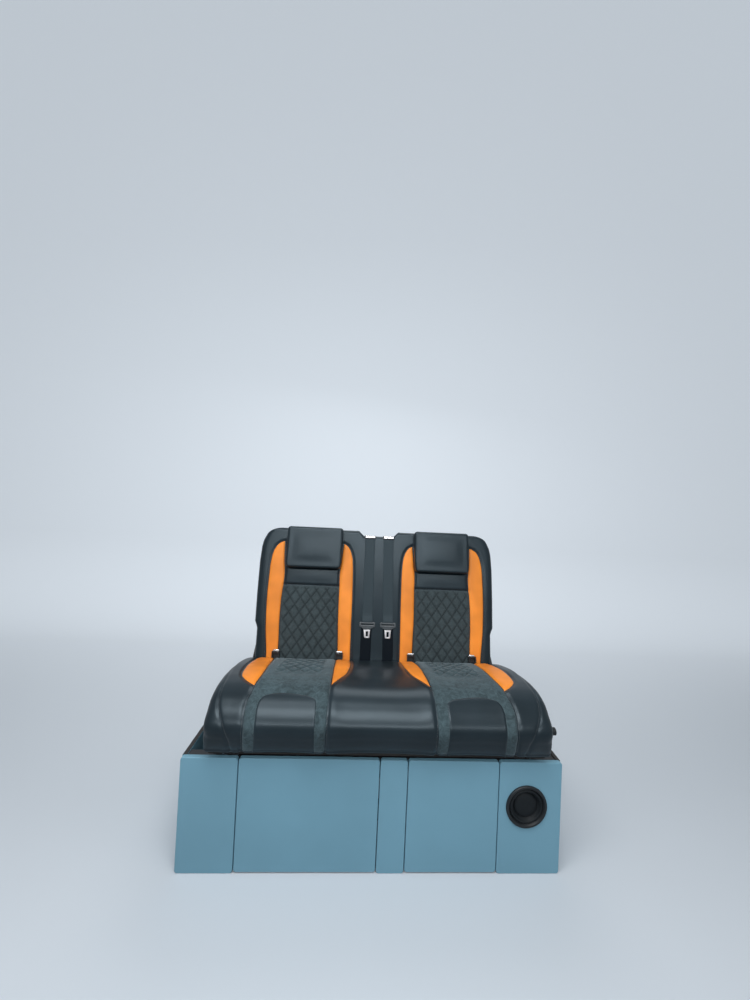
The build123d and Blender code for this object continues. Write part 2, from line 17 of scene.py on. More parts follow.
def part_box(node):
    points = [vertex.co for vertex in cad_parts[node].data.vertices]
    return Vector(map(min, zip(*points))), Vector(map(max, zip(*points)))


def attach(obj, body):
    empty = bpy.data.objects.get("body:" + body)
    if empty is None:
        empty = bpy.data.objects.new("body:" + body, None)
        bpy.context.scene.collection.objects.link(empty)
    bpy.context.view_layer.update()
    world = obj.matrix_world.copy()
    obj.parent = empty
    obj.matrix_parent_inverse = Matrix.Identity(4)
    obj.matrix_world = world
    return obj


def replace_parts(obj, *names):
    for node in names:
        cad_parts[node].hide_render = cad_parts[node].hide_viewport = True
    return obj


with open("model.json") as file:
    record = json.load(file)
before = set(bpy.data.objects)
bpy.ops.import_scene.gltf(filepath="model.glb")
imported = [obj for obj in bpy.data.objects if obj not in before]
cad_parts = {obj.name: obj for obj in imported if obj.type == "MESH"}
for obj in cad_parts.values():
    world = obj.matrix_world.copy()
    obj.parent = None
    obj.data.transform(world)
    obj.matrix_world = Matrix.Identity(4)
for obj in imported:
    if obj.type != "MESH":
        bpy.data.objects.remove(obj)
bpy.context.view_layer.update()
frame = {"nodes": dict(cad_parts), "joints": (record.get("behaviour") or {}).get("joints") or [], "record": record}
record, nodes = frame["record"], frame["nodes"]

# %% [markdown]
# The seat's own directions come first. The backrest leans back and turns about its hinge. A point on it is
# given by x, by how far it stands in front of the hinge, and by how far up the backrest it lies from the
# crease where the two cushions meet. Pieces that are placed in this way stay on the backrest if its lean
# changes.

# %% Directions and the crease
MM = 0.001
lean = math.radians(13.7)
x_way = np.array([1.0, 0, 0])
back_up = np.array([0, math.sin(lean), math.cos(lean)])
back_out = np.array([0, -math.cos(lean), math.sin(lean)])
hinge = np.array(next(j["pos_m"] for j in frame["joints"] if j["name"] == "back_fold"))
crease = np.array([0, 0.140, 0.497])
crease_up = float((crease - hinge) @ back_up)
back_front = float((crease - hinge) @ back_out)


def on_back(x, forward, up):
    """The point at x that stands forward of the hinge and lies up the backrest from the crease."""
    parts = ((x, x_way), (forward, back_out), (np.asarray(up, float) + crease_up, back_up))
    return hinge + sum(np.multiply.outer(np.asarray(size, float), way) for size, way in parts)


print("hinge", hinge.round(4), "crease is", round(crease_up, 4), "above it on the backrest")

# %% [markdown]
# The camera stands where the photograph was taken from, with a very wide lens, held upright and slightly
# turned. Its place was worked out from the edges of the seat's base, so the seat falls on the same pixels
# as in the photograph.

# %% Camera
camera_place = Vector((-0.1158, -1.5696, 1.1898))
camera_yaw, camera_pitch, camera_roll = (math.radians(a) for a in (2.77, 1.06, 2.72))
ahead = Vector((
    math.sin(camera_yaw) * math.cos(camera_pitch),
    math.cos(camera_yaw) * math.cos(camera_pitch),
    math.sin(camera_pitch),
))
level = Vector((math.cos(camera_yaw), -math.sin(camera_yaw), 0))
plumb = ahead.cross(level)
right = math.cos(camera_roll) * level - math.sin(camera_roll) * plumb
down = math.sin(camera_roll) * level + math.cos(camera_roll) * plumb
bpy.ops.object.camera_add(location=camera_place)
camera = bpy.context.active_object
camera.name = "camera"
camera.matrix_world = Matrix((right, -down, -ahead)).transposed().to_4x4()
camera.location = camera_place
camera.data.lens, camera.data.sensor_width = 13.54, 36
camera.data.clip_start = 0.05
bpy.context.scene.camera = camera
print("camera at", camera_place[:], "looking along", [round(v, 3) for v in ahead])

# %% [markdown]
# Blender's operators act on whatever is selected, in the mode that is on. These helpers first make one
# object the only selected one, so that each later step says plainly what it does to which piece.

# %% Operators on one object at a time


def deselect():
    """Leaves edit mode and selects nothing."""
    if bpy.context.mode != "OBJECT":
        bpy.ops.object.mode_set(mode="OBJECT")
    bpy.ops.object.select_all(action="DESELECT")


def take(piece):
    """Makes piece the only selected and active object."""
    deselect()
    piece.select_set(True)
    bpy.context.view_layer.objects.active = piece
    return piece


def settle(piece):
    """Puts an object's place into its mesh, so that the object sits at the origin."""
    take(piece)
    bpy.ops.object.transform_apply(location=True, rotation=True, scale=True)
    return piece


def applied(piece, kind, **settings):
    """Adds one modifier with these settings and applies it."""
    take(piece)
    modifier = piece.modifiers.new(kind.lower(), kind)
    for name, value in settings.items():
        setattr(modifier, name, value)
    bpy.ops.object.modifier_apply(modifier=modifier.name)
    return piece


def smooth(piece, angle=None):
    """Shades a piece smooth, everywhere or only where its faces meet at less than an angle in degrees."""
    take(piece)
    if angle:
        bpy.ops.object.shade_smooth_by_angle(angle=math.radians(angle))
    else:
        bpy.ops.object.shade_smooth()
    return piece


def edit(piece, mode="FACE", action="DESELECT"):
    """Enters edit mode on piece, with nothing or everything selected."""
    take(piece)
    bpy.ops.object.mode_set(mode="EDIT")
    bpy.ops.mesh.select_mode(type=mode)
    bpy.ops.mesh.select_all(action=action)


def leave_edit():
    """Goes back to object mode."""
    bpy.ops.object.mode_set(mode="OBJECT")


def choose_edges(piece, test):
    """Enters edit mode with the edges chosen for which test(start, end) is true."""
    ends = [[piece.data.vertices[i].co.copy() for i in e.vertices] for e in piece.data.edges]
    edit(piece, "EDGE")
    leave_edit()
    for e, (start, end) in zip(piece.data.edges, ends):
        e.select = bool(test(start, end))
    bpy.ops.object.mode_set(mode="EDIT")


print("operators ready, mode", bpy.context.mode)

# %% [markdown]
# Every finish is procedural: noise and cells in the piece's own coordinates drive its colour, roughness and
# bump, so it needs no image and has no seam. A small class keeps the node trees short. Each method adds one
# kind of node and gives back a socket, and the last ones join sockets to the shader.

# %% Helpers for finishes


def shade(colour, factor):
    """A colour made darker or lighter by a factor."""
    return tuple(min(1.0, c * factor) for c in colour)


class Finish:
    """A material under construction: its shader, and short ways to add and join nodes."""

    def __init__(self, name, colour, roughness, metallic=0.0, specular=0.5, sheen=0.0):
        self.material = bpy.data.materials.new(name)
        self.material.use_nodes = True
        self.material.diffuse_color = (*colour, 1)
        self.tree = self.material.node_tree
        self.colour = colour
        self.shader = self.tree.nodes["Principled BSDF"].inputs
        self.shader["Base Color"].default_value = (*colour, 1)
        self.shader["Roughness"].default_value = roughness
        self.shader["Metallic"].default_value = metallic
        self.shader["Specular IOR Level"].default_value = specular
        self.shader["Sheen Weight"].default_value = sheen
        self.where = self.tree.nodes.new("ShaderNodeTexCoord").outputs

    def feed(self, socket, value):
        """Joins a socket to another node's output, or gives it a plain value."""
        if isinstance(value, bpy.types.NodeSocket):
            self.tree.links.new(value, socket)
        else:
            socket.default_value = value

    def add(self, kind, inputs, **settings):
        """The outputs of a new node with these inputs and settings."""
        made = self.tree.nodes.new("ShaderNode" + kind)
        for name, value in settings.items():
            setattr(made, name, value)
        for name, value in inputs.items():
            self.feed(made.inputs[name], value)
        return made.outputs

    def place(self, scale=(1, 1, 1), turn=(0, 0, 0), source="Object"):
        """Object or UV coordinates, stretched and turned."""
        return self.add("Mapping", {"Vector": self.where[source], "Scale": scale, "Rotation": turn})["Vector"]

    def noise(self, scale, detail=4.0, roughness=0.55, vector=None, distortion=0.0):
        """Soft random values round one half."""
        inputs = {"Vector": vector or self.where["Object"], "Scale": scale, "Detail": detail}
        inputs |= {"Roughness": roughness, "Distortion": distortion}
        return self.add("TexNoise", inputs)["Fac"]

    def cells(self, scale, feature="F1"):
        """Distance from the middle of random cells, as in a grained surface."""
        inputs = {"Vector": self.where["Object"], "Scale": scale}
        return self.add("TexVoronoi", inputs, feature=feature)["Distance"]

    def ribs(self, scale, vector, direction="X"):
        """Parallel ribs across one direction."""
        inputs = {"Vector": vector, "Scale": scale}
        settings = {"wave_type": "BANDS", "bands_direction": direction, "wave_profile": "SIN"}
        return self.add("TexWave", inputs, **settings)["Fac"]

    def sums(self, kind, a, b):
        """One step of arithmetic on two values or sockets."""
        return self.add("Math", {0: a, 1: b}, operation=kind)["Value"]

    def range(self, value, low, high, to_low, to_high):
        """The value stretched from low..high to to_low..to_high, and held there."""
        inputs = {"Value": value, 1: low, 2: high, 3: to_low, 4: to_high}
        return self.add("MapRange", inputs, interpolation_type="SMOOTHSTEP")["Result"]

    def tint(self, value, first, second, low=0.3, high=0.7):
        """Base colour that runs from first to second as value goes from low to high."""
        ramp = self.tree.nodes.new("ShaderNodeValToRGB")
        for stop, position, colour in zip(ramp.color_ramp.elements, (low, high), (first, second)):
            stop.position = position
            stop.color = (*colour, 1)
        self.feed(ramp.inputs["Fac"], value)
        self.feed(self.shader["Base Color"], ramp.outputs["Color"])
        return ramp

    def vary(self, value, darkest, lightest, low=0.3, high=0.7):
        """Base colour that runs between two shades of the finish's own colour."""
        return self.tint(value, shade(self.colour, darkest), shade(self.colour, lightest), low, high)

    def gloss(self, value, low, high):
        """Roughness that runs from low to high with a noise."""
        self.feed(self.shader["Roughness"], self.range(value, 0.3, 0.7, low, high))

    def bump(self, *layers):
        """Bump from layers of (height socket, distance in metres, strength), coarse ones first."""
        normal = None
        for height, distance, strength in layers:
            inputs = {"Height": height, "Distance": distance, "Strength": strength}
            if normal:
                inputs["Normal"] = normal
            normal = self.add("Bump", inputs)["Normal"]
        self.feed(self.shader["Normal"], normal)


print("a finish can add", [name for name in vars(Finish) if not name.startswith("_")])

# %% [markdown]
# The studio is plain: a pale floor that sweeps up into a pale wall, made from one plane whose rear edge is
# extruded step by step along a quarter circle. Separate planes would show a line where they meet.

# %% Floor and wall
floor_size, wall_y, sweep_r, sweep_steps = 14.0, 2.4, 0.8, 16
bpy.ops.mesh.primitive_plane_add(size=floor_size, location=(0, wall_y - sweep_r - floor_size / 2, 0))
floor = bpy.context.active_object
floor.name = "floor_and_wall"
choose_edges(floor, lambda a, b: min(a.y, b.y) > 0)
sweep_turn = math.pi / 2 / sweep_steps
sweep_chord = 2 * sweep_r * math.sin(sweep_turn / 2)
climbs = [
    (0, sweep_chord * math.cos(sweep_turn * (i + 0.5)), sweep_chord * math.sin(sweep_turn * (i + 0.5)))
    for i in range(sweep_steps)
]
for climb in climbs + [(0, 0, floor_size / 2)]:
    bpy.ops.mesh.extrude_region_move(TRANSFORM_OT_translate={"value": climb})
leave_edit()
settle(smooth(floor))
print("floor and wall with", len(floor.data.polygons), "faces")

# %% [markdown]
# The floor's finish depends on who looks. To the camera it is pale and the wall glows a little, more so
# further back, so the ground reads as one even tone. To the light that bounces about it is darker, or it
# would wash out the shade under the seat. The Light Path node tells the two apart.

# %% The floor's finish
room_light = (0.80, 0.86, 0.92, 1)
glow_start, wall_glow = -0.4, 0.42
pale = Finish("pale_floor", (0.57, 0.62, 0.67), 0.9, specular=0.15)
rays = pale.add("LightPath", {})
seen = pale.sums("MAXIMUM", rays["Is Camera Ray"], rays["Is Transmission Ray"])
pale.tint(seen, (0.33, 0.36, 0.39), (0.60, 0.65, 0.70), 0.0, 1.0)
depth = pale.add("SeparateXYZ", {"Vector": pale.where["Object"]})["Y"]
further_back = pale.range(depth, glow_start, wall_y, 0.0, 1.0)
shown = pale.sums("MAXIMUM", seen, rays["Is Glossy Ray"])
glow = pale.sums("MULTIPLY", pale.sums("MULTIPLY", shown, further_back), wall_glow)
pale.feed(pale.shader["Emission Color"], room_light)
pale.feed(pale.shader["Emission Strength"], glow)
floor.data.materials.append(pale.material)
print("the wall glows with", wall_glow, "from y =", glow_start, "back to", wall_y)

# %% [markdown]
# One large soft lamp hangs overhead, as the light in such a room does, and long ones in front and above the
# rear draw the bright lines along the seat's nose. Two weak lamps at the sides only fill. They are left out
# of reflections, where they would show as patches on the leather.

# %% Lamps
lamps = [
    # name, place, aim, size across and along, watts
    ("roof_lamp", (-0.25, -1.15, 2.6), (-0.1, -0.3, 0.5), 1.7, 0.7, 30),
    ("front_lamp", (0, -2.9, 2.3), (0, 0.2, 0.8), 2.6, 0.5, 32),
    ("left_lamp", (-2.5, -1.9, 1.7), (0, 0, 0.5), 1.4, 1.6, 15),
    ("right_lamp", (2.5, -1.4, 1.7), (0, 0, 0.5), 1.2, 1.6, 6),
    ("top_lamp", (0.2, 0.9, 2.9), (0, 0.1, 0.6), 1.6, 0.9, 14),
]
for name, place, aim, across, along, watts in lamps:
    bpy.ops.object.light_add(type="AREA", location=place)
    lamp = bpy.context.active_object
    lamp.name = name
    lamp.rotation_euler = (Vector(aim) - Vector(place)).to_track_quat("-Z", "Y").to_euler()
    lamp.data.shape = "RECTANGLE"
    lamp.data.size, lamp.data.size_y = across, along
    lamp.data.energy = watts
    lamp.visible_glossy = name not in ("left_lamp", "right_lamp")
world = bpy.data.worlds.new("pale_room")
bpy.context.scene.world = world
world.use_nodes = True
world.node_tree.nodes["Background"].inputs["Color"].default_value = room_light
world.node_tree.nodes["Background"].inputs["Strength"].default_value = 0.38
bpy.context.scene.view_settings.view_transform = "Standard"
print("stage with", len(lamps), "lamps")

# %% [markdown]
# Seat leather is thin and even, with a pebbled grain under a millimetre across, creases that come and go,
# and soft dents. Three noises of falling size make them in the bump. The gloss stays even, because noise in
# it would look like stains. The orange hide is the same skin in another colour.

# %% Leather


def leather(name, colour, roughness, specular, cool_light_tint=(1, 1, 1)):
    """Grained satin leather, whose gloss takes a tint that paints the colour of cool room light into its
    reflections.
    """
    skin = Finish(name, colour, roughness, specular=specular)
    skin.feed(skin.shader["Specular Tint"], (*cool_light_tint, 1))
    skin.vary(skin.range(skin.noise(7, 2), 0.2, 0.8, 0.0, 1.0), 0.8, 1.2, 0.0, 1.0)
    pebbles, creases, dents = skin.noise(480, 2, 0.5), skin.noise(60, 3, 0.5), skin.noise(16, 2)
    skin.bump((dents, 0.0020, 0.2), (creases, 0.0006, 0.14), (pebbles, 0.0003, 0.07))
    return skin.material


# The black leather's gloss is tinted blue, which paints the colour of cool daylight into its reflections.
black_leather = leather("black_leather", (0.011, 0.018, 0.023), 0.33, 0.45, cool_light_tint=(0.74, 0.90, 1.0))
orange_leather = leather("orange_leather", (0.86, 0.262, 0.030), 0.46, 0.35)
print("leathers", black_leather.name, orange_leather.name)

# %% [markdown]
# Suede is a brushed pile. Hands and clothes lay it one way or the other, so it shows lighter and darker
# swirls, and it has no gloss at all. The swirls are noise that is bent by itself, and the pile is very fine
# noise in the bump. Each panel with a relief marks its grooves in an attribute of its mesh, and the suede is
# darkened there: this is painted shade in the sewn grooves.

# %% Suede


def suede_cloth(name, colour, patches, groove_shade):
    """Brushed microfibre. patches says how much its tone wanders, and the last argument how much painted shade
    darkens its grooves.
    """
    pile = Finish(name, colour, 0.92, specular=0.25, sheen=0.35)
    pile.feed(pile.shader["Sheen Roughness"], 0.4)
    pile.feed(pile.shader["Sheen Tint"], (0.55, 0.66, 0.72, 1))
    brushed, broad, fuzz = pile.noise(46, 6, 0.7, distortion=1.4), pile.noise(11, 2), pile.noise(900, 2)
    mixed = brushed
    for finer_or_broader in (fuzz, broad):
        swing = pile.sums("MULTIPLY", pile.sums("SUBTRACT", finer_or_broader, 0.5), 0.3)
        mixed = pile.sums("ADD", mixed, swing)
    ramp = pile.vary(mixed, 1 - patches, 1 + patches, 0.34, 0.66)
    # The groove attribute darkens the suede along its seams: painted shade in the grooves.
    groove = pile.add("Attribute", {}, attribute_name="groove")["Fac"]
    light = pile.sums("SUBTRACT", 1.0, pile.sums("MULTIPLY", groove, groove_shade))
    darker = pile.add("VectorMath", {0: ramp.outputs["Color"], "Scale": light}, operation="SCALE")
    pile.feed(pile.shader["Base Color"], darker[0])
    pile.bump((brushed, 0.0015, 0.2), (fuzz, 0.0004, 0.5))
    return pile.material


# The last number of each suede is how much painted shade darkens its grooves.
seat_suede = suede_cloth("seat_suede", (0.046, 0.072, 0.082), 0.42, 0.8)
back_suede = suede_cloth("back_suede", (0.04452, 0.06148, 0.06784), 0.22, 0.5)
print("suedes", seat_suede.name, back_suede.name)

# %% [markdown]
# The boards are light plywood faced with a matt blue-grey laminate, which scatters light softly and shows
# faint cloudiness. Bare edges and inner boards are very dark ply with its veneer lines: the grain is real, and
# the darkness is painted shade, which falls there under the seat. The side boards are one solid each, so a mask
# by coordinates leaves the laminate on their outer face and shows the dark ply on the rest, where their inner
# face and top edge paint the shade beside the cushion.

# %% Boards
ply_and_shade_colour = (0.022, 0.020, 0.019)
laminate_colour = (0.176, 0.360, 0.466)


def laminate_face(name, outside=None, top=None):
    """Matt laminate. It is left off further in than outside, and off the edge at the height top, where dark ply
    paints shade.
    """
    face = Finish(name, laminate_colour, 0.5, specular=0.45)
    cloud = face.range(face.noise(2.2, 3), 0.3, 0.7, 0.0, 0.8)
    ramp = face.vary(cloud, 0.94, 1.06, 0.0, 0.8)
    # Inside and along the top, the side board turns to dark ply: painted shade beside the cushion.
    if outside:
        spot = face.add("SeparateXYZ", {"Vector": face.where["Object"]})
        inner = face.sums("LESS_THAN", face.sums("ABSOLUTE", spot["X"], 0.0), outside)
        edge = face.sums("GREATER_THAN", spot["Z"], top)
        face.feed(ramp.inputs["Fac"], face.sums("MAXIMUM", cloud, face.sums("MAXIMUM", inner, edge)))
        for position, tone in ((0.88, shade(laminate_colour, 1.06)), (0.92, ply_and_shade_colour)):
            ramp.color_ramp.elements.new(position).color = (*tone, 1)
    face.gloss(face.noise(5, 4), 0.42, 0.58)
    face.bump((face.noise(1400, 2), 0.0002, 0.25))
    return face.material


board_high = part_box("side_panel_right")[1]
laminate = laminate_face("pale_laminate")
side_laminate = laminate_face("side_laminate", outside=board_high.x - 0.001, top=board_high.z - 0.001)
# The ply's veneer grain is real, and its dark colour is painted shade.
ply = Finish("dark_ply_and_shade", ply_and_shade_colour, 0.7, specular=0.3)
veneer = ply.noise(40, 6, 0.6, ply.place(scale=(1, 1, 14)))
ply.vary(veneer, 0.6, 1.7)
ply.bump((veneer, 0.0006, 0.4))
print("side boards show laminate from x =", round(board_high.x - 0.001, 3))

# %% [markdown]
# Metals next. Powder coat is a soft orange peel, zinc plate has a faint milky mottle and draw lines, and
# polished steel is smooth with the finest of hairlines, so that the belt guides flash in the light. The
# hairlines are one noise, stretched a long way along X, that moves gloss, tint and bump together.

# %% Metals


def polished_steel(name, roughness, colour=(0.80, 0.80, 0.82)):
    """Polished steel with hairlines."""
    steel = Finish(name, colour, roughness, metallic=1.0)
    lines = steel.noise(260, 4, vector=steel.place(scale=(0.03, 1, 1)))
    steel.gloss(lines, roughness - 0.06, roughness + 0.1)
    steel.vary(lines, 0.92, 1.05)
    steel.bump((lines, 0.0001, 0.15))
    return steel.material


bright_steel = polished_steel("polished_steel", 0.24)
# The anchor rods get a dark, dull steel: its darkness is painted shade from the pockets of the guides they lie in.
shaded_rod_steel = polished_steel("shaded_rod_steel", 0.5, (0.10, 0.10, 0.11))
coat = Finish("black_powder_coat", (0.018, 0.019, 0.021), 0.42)
coat.gloss(coat.noise(18, 3), 0.34, 0.52)
coat.vary(coat.noise(9, 3), 0.8, 1.3)
coat.bump((coat.cells(900, feature="SMOOTH_F1"), 0.0003, 0.3))
zinc = Finish("bright_zinc", (0.60, 0.61, 0.62), 0.32, metallic=1.0)
zinc.vary(zinc.noise(60, 3, distortion=0.6), 0.86, 1.08)
zinc.gloss(zinc.noise(40, 2), 0.34, 0.44)
zinc.bump((zinc.noise(300, 2, vector=zinc.place(scale=(1, 0.05, 1))), 0.0002, 0.08))
print("metals", bright_steel.name, shaded_rod_steel.name, coat.material.name, zinc.material.name)

# %% [markdown]
# Plastic mouldings carry a fine spark-eroded grain, which cells make better than noise. The speaker's cone
# is matt pressed paper with fibres in it, and the board behind the backrest is wrapped in fuzzy
# needle-felt, whose sheen lifts its edges.

# %% Plastic, paper and felt
plastic = Finish("black_plastic", (0.011, 0.014, 0.017), 0.45)
plastic.gloss(plastic.noise(40, 3), 0.38, 0.54)
plastic.vary(plastic.noise(30, 2), 0.85, 1.25)
plastic.bump((plastic.cells(1500), 0.0002, 0.4))
paper = Finish("cone_paper", (0.0065, 0.0095, 0.0120), 0.62, specular=0.3)
fibres = paper.noise(420, 4, distortion=0.6)
paper.vary(fibres, 0.7, 1.5)
paper.bump((fibres, 0.0003, 0.3))
felt = Finish("lining_felt", (0.026, 0.027, 0.030), 0.97, specular=0.15, sheen=0.4)
felt.feed(felt.shader["Sheen Tint"], (0.5, 0.52, 0.55, 1))
fuzz = felt.noise(500, 5, 0.7)
felt.vary(fuzz, 0.5, 2.2, 0.35, 0.7)
felt.bump((felt.noise(90, 4), 0.002, 0.25), (fuzz, 0.0012, 0.6))
print("mouldings, cone and lining", plastic.material.name, paper.material.name, felt.material.name)

# %% [markdown]
# Seat-belt webbing is woven in fine ribs that run along it, with picks across. The belts carry their own UV
# map in metres, across and along, so that the weave follows every bend. Topstitching is a thick twisted
# thread: here it is ribbed at a slant.

# %% Webbing and thread


def belt_webbing(name, colour, specular=0.3, sheen=0.15):
    """Polyester webbing, ribbed along its length."""
    woven = Finish(name, colour, 0.6, specular=specular, sheen=sheen)
    flat = woven.place(source="UV")
    ribs, picks = woven.ribs(160, flat), woven.ribs(260, flat, direction="Y")
    weave = woven.sums("MULTIPLY", ribs, woven.sums("ADD", woven.sums("MULTIPLY", picks, 0.5), 0.5))
    woven.vary(weave, 0.7, 1.25, 0.0, 1.0)
    woven.bump((weave, 0.0005, 0.6))
    return woven.material


webbing = belt_webbing("belt_webbing", (0.030, 0.050, 0.062))
# A darker, duller copy of the same webbing for the belts below the tongues: painted shade.
shaded_webbing = belt_webbing("shaded_webbing", (0.004, 0.008, 0.013), specular=0.12, sheen=0.0)
thread = Finish("grey_thread", (0.12, 0.13, 0.14), 0.55, specular=0.3, sheen=0.2)
thread.bump((thread.ribs(900, thread.place(turn=(0, 0, 0.8))), 0.0001, 0.4))
print("woven finishes", webbing.name, shaded_webbing.name, thread.material.name)

# %% [markdown]
# CAD nodes that already have the right shape stay as they are. Each takes the finish that the record names
# for it. Two kinds depart from that: the side boards, whose edges and inner faces show dark ply, partly their
# real edges and partly painted shade beside the cushion, and the rods for the child-seat hooks, which lie in
# shadow, and whose dark dull steel paints that shade.

# %% Finishes for the CAD nodes
finishes = {
    "laminate": laminate,
    "plywood": ply.material,
    "black_steel": coat.material,
    "zinc_steel": zinc.material,
    "bright_steel": bright_steel,
    "black_plastic": plastic.material,
    "black_leather": black_leather,
    "orange_leather": orange_leather,
    "suede": back_suede,
    "stitching": thread.material,
    "webbing": webbing,
    "board_cloth": felt.material,
    "speaker_paper": paper.material,
}
own_finish = {"side_panel_left": side_laminate, "side_panel_right": side_laminate, "anchor_rods": shaded_rod_steel}


def paint(piece, finish):
    """Gives a piece one finish and no other."""
    piece.data.materials.clear()
    piece.data.materials.append(finish)


def dress(piece, slot, finish=None):
    """Gives a piece one finish: the one given, or else the finish of the record's slot."""
    paint(piece, finish or finishes[slot])
    return piece


for part in record["subparts"]:
    paint(nodes[part["node"]], own_finish.get(part["node"], finishes[part["material_slot"]]))
print("finished", len(nodes), "CAD nodes")

# %% [markdown]
# Soft pieces are made as numbers first and become meshes at the end. A grid primitive has the right number
# of points, and these helpers move them into place, weld what has come together, close what is open, and
# turn every face outward, which padding, light and export all rely on.

# %% From points to a closed mesh


def merge(piece, distance):
    """Joins points that lie closer than a distance."""
    edit(piece, action="SELECT")
    bpy.ops.mesh.remove_doubles(threshold=distance)
    leave_edit()


def fill_openings(piece):
    """Closes each open loop of edges with one face."""
    edit(piece, "EDGE")
    bpy.ops.mesh.select_non_manifold(extend=False)
    bpy.ops.mesh.fill_holes(sides=0)
    leave_edit()


def face_outward(piece):
    """Turns every face of a closed mesh outward."""
    edit(piece, action="SELECT")
    bpy.ops.mesh.normals_make_consistent(inside=False)
    leave_edit()
    return piece


def points_of(piece):
    """The mesh's points as an array of rows x, y, z."""
    flat = np.empty(len(piece.data.vertices) * 3)
    piece.data.vertices.foreach_get("co", flat)
    return flat.reshape(-1, 3)


def move_points(piece, points):
    """Gives the mesh these points."""
    piece.data.vertices.foreach_set("co", np.asarray(points, float).ravel())
    piece.data.update()


def grid_piece(name, points):
    """A grid primitive with one point for each row and column of points."""
    deselect()
    rows, columns = points.shape[:2]
    bpy.ops.mesh.primitive_grid_add(x_subdivisions=columns - 1, y_subdivisions=rows - 1, size=1)
    piece = bpy.context.active_object
    piece.name = name
    move_points(piece, points)
    return piece


print("floor's highest point is at", round(float(points_of(floor)[:, 2].max()), 2))

# %% [markdown]
# A cushion's shape is given by lines: its outline from the side, and the seams that are drawn on its cover.
# The helpers here turn a few points into smooth or straight lines with even steps, mirror them for the
# other place of the seat, and measure how far a point lies from a seam.

# %% Lines on a cushion


def lengths(points):
    """How far along a line each of its points lies."""
    return np.r_[0, np.cumsum(np.linalg.norm(np.diff(points, axis=0), axis=1))]


def straight_run(points, count):
    """Points at equal steps along straight runs."""
    knots = np.asarray(points, float)
    arc = lengths(knots)
    at = np.linspace(0, arc[-1], count)
    return np.stack([np.interp(at, arc, knots[:, k]) for k in range(knots.shape[1])], axis=1)


def curve_through(points, count):
    """A smooth curve through the points, as count points at equal steps."""
    knots = np.asarray(points, float)
    chord = lengths(knots)
    slope = np.gradient(knots, chord, axis=0)
    at = np.linspace(0, chord[-1], count * 8)
    i = np.clip(np.searchsorted(chord, at, side="right") - 1, 0, len(knots) - 2)
    gap = (chord[i + 1] - chord[i])[:, None]
    u = (at - chord[i])[:, None] / gap
    fine = (
        (2 * u**3 - 3 * u**2 + 1) * knots[i]
        + (u**3 - 2 * u**2 + u) * gap * slope[i]
        + (3 * u**2 - 2 * u**3) * knots[i + 1]
        + (u**3 - u**2) * gap * slope[i + 1]
    )
    return straight_run(fine, count)


def smooth_step(value, low, high):
    """Rises smoothly from 0 at low to 1 at high."""
    t = np.clip((np.asarray(value, float) - low) / (high - low), 0, 1)
    return t * t * (3 - 2 * t)


def distance_to(lines, a, b):
    """Distance from each point (a, b) to the nearest of some polylines in the same flat coordinates."""
    nearest = np.full(np.shape(a), np.inf)
    for line in lines:
        line = np.asarray(line, float)
        for start, end in zip(line[:-1], line[1:]):
            run = end - start
            along = ((a - start[0]) * run[0] + (b - start[1]) * run[1]) / max(run @ run, 1e-12)
            along = np.clip(along, 0, 1)
            away = np.hypot(a - start[0] - along * run[0], b - start[1] - along * run[1])
            nearest = np.minimum(nearest, away)
    return nearest


def on_side(line, turn):
    """The line as it is drawn for the left place, or mirrored where turn is -1."""
    return [(turn * x, s) for x, s in line]


def scaled(line):
    """Millimetres to metres."""
    return np.asarray(line, float) * MM


def both_seams(lines, shape=lambda line: curve_through(line, 24)):
    """The seams through these millimetre points on the left place, and then those on the right one."""
    return [shape(scaled(on_side(line, turn))) for turn in (1, -1) for line in lines]


print("a quarter circle of four points is", round(float(lengths(curve_through(
    [(math.cos(a), math.sin(a)) for a in np.linspace(0, math.pi / 2, 4)], 30))[-1]), 3), "long")

# %% [markdown]
# Upholstery starts from foam. On the real seat a block of foam is covered by panels that are sewn together,
# and the seams pull the cover in while the foam pushes it out between them. The foam here is one closed
# grid, wrapped round the cushion's outline from the side, with its ends rolled over. These helpers make
# such a grid finer or calmer.

# %% Grids


def finer(grid, times):
    """A grid of points made finer along its first axis by smooth interpolation."""
    padded = np.concatenate([2 * grid[:1] - grid[1:2], grid, 2 * grid[-1:] - grid[-2:-1]])
    steps = np.arange((len(grid) - 1) * times + 1) / times
    i = np.minimum(steps.astype(int), len(grid) - 2)
    u = (steps - i).reshape(-1, *[1] * (grid.ndim - 1))
    p0, p1, p2, p3 = (padded[i + k] for k in range(4))
    return 0.5 * (
        2 * p1 + (p2 - p0) * u + (2 * p0 - 5 * p1 + 4 * p2 - p3) * u**2 + (3 * p1 - p0 - 3 * p2 + p3) * u**3
    )


def calmer(grid):
    """One pass of smoothing over a grid, both ways."""
    for _ in range(2):
        wider = np.concatenate([grid[:1], grid, grid[-1:]])
        grid = np.swapaxes(0.25 * wider[:-2] + 0.5 * wider[1:-1] + 0.25 * wider[2:], 0, 1)
    return grid


def grid_normals(grid):
    """Unit normals of a grid of points, rows by columns."""
    normal = np.cross(np.gradient(grid, axis=1), np.gradient(grid, axis=0))
    return normal / np.maximum(np.linalg.norm(normal, axis=2, keepdims=True), 1e-12)


print("five rows made twice as fine are", len(finer(np.zeros((5, 3)), 2)), "rows")

# %% [markdown]
# One class holds a cushion while it is made: its grid, the flat coordinates of each point on its cover, and
# the steps of the work. Sculpting could give the swell too, but Blender's cloth gives the real one: blown
# up with a little pressure while the seams are pinned, the cover rises between them and pulls at the
# corners.

# %% The cushion class


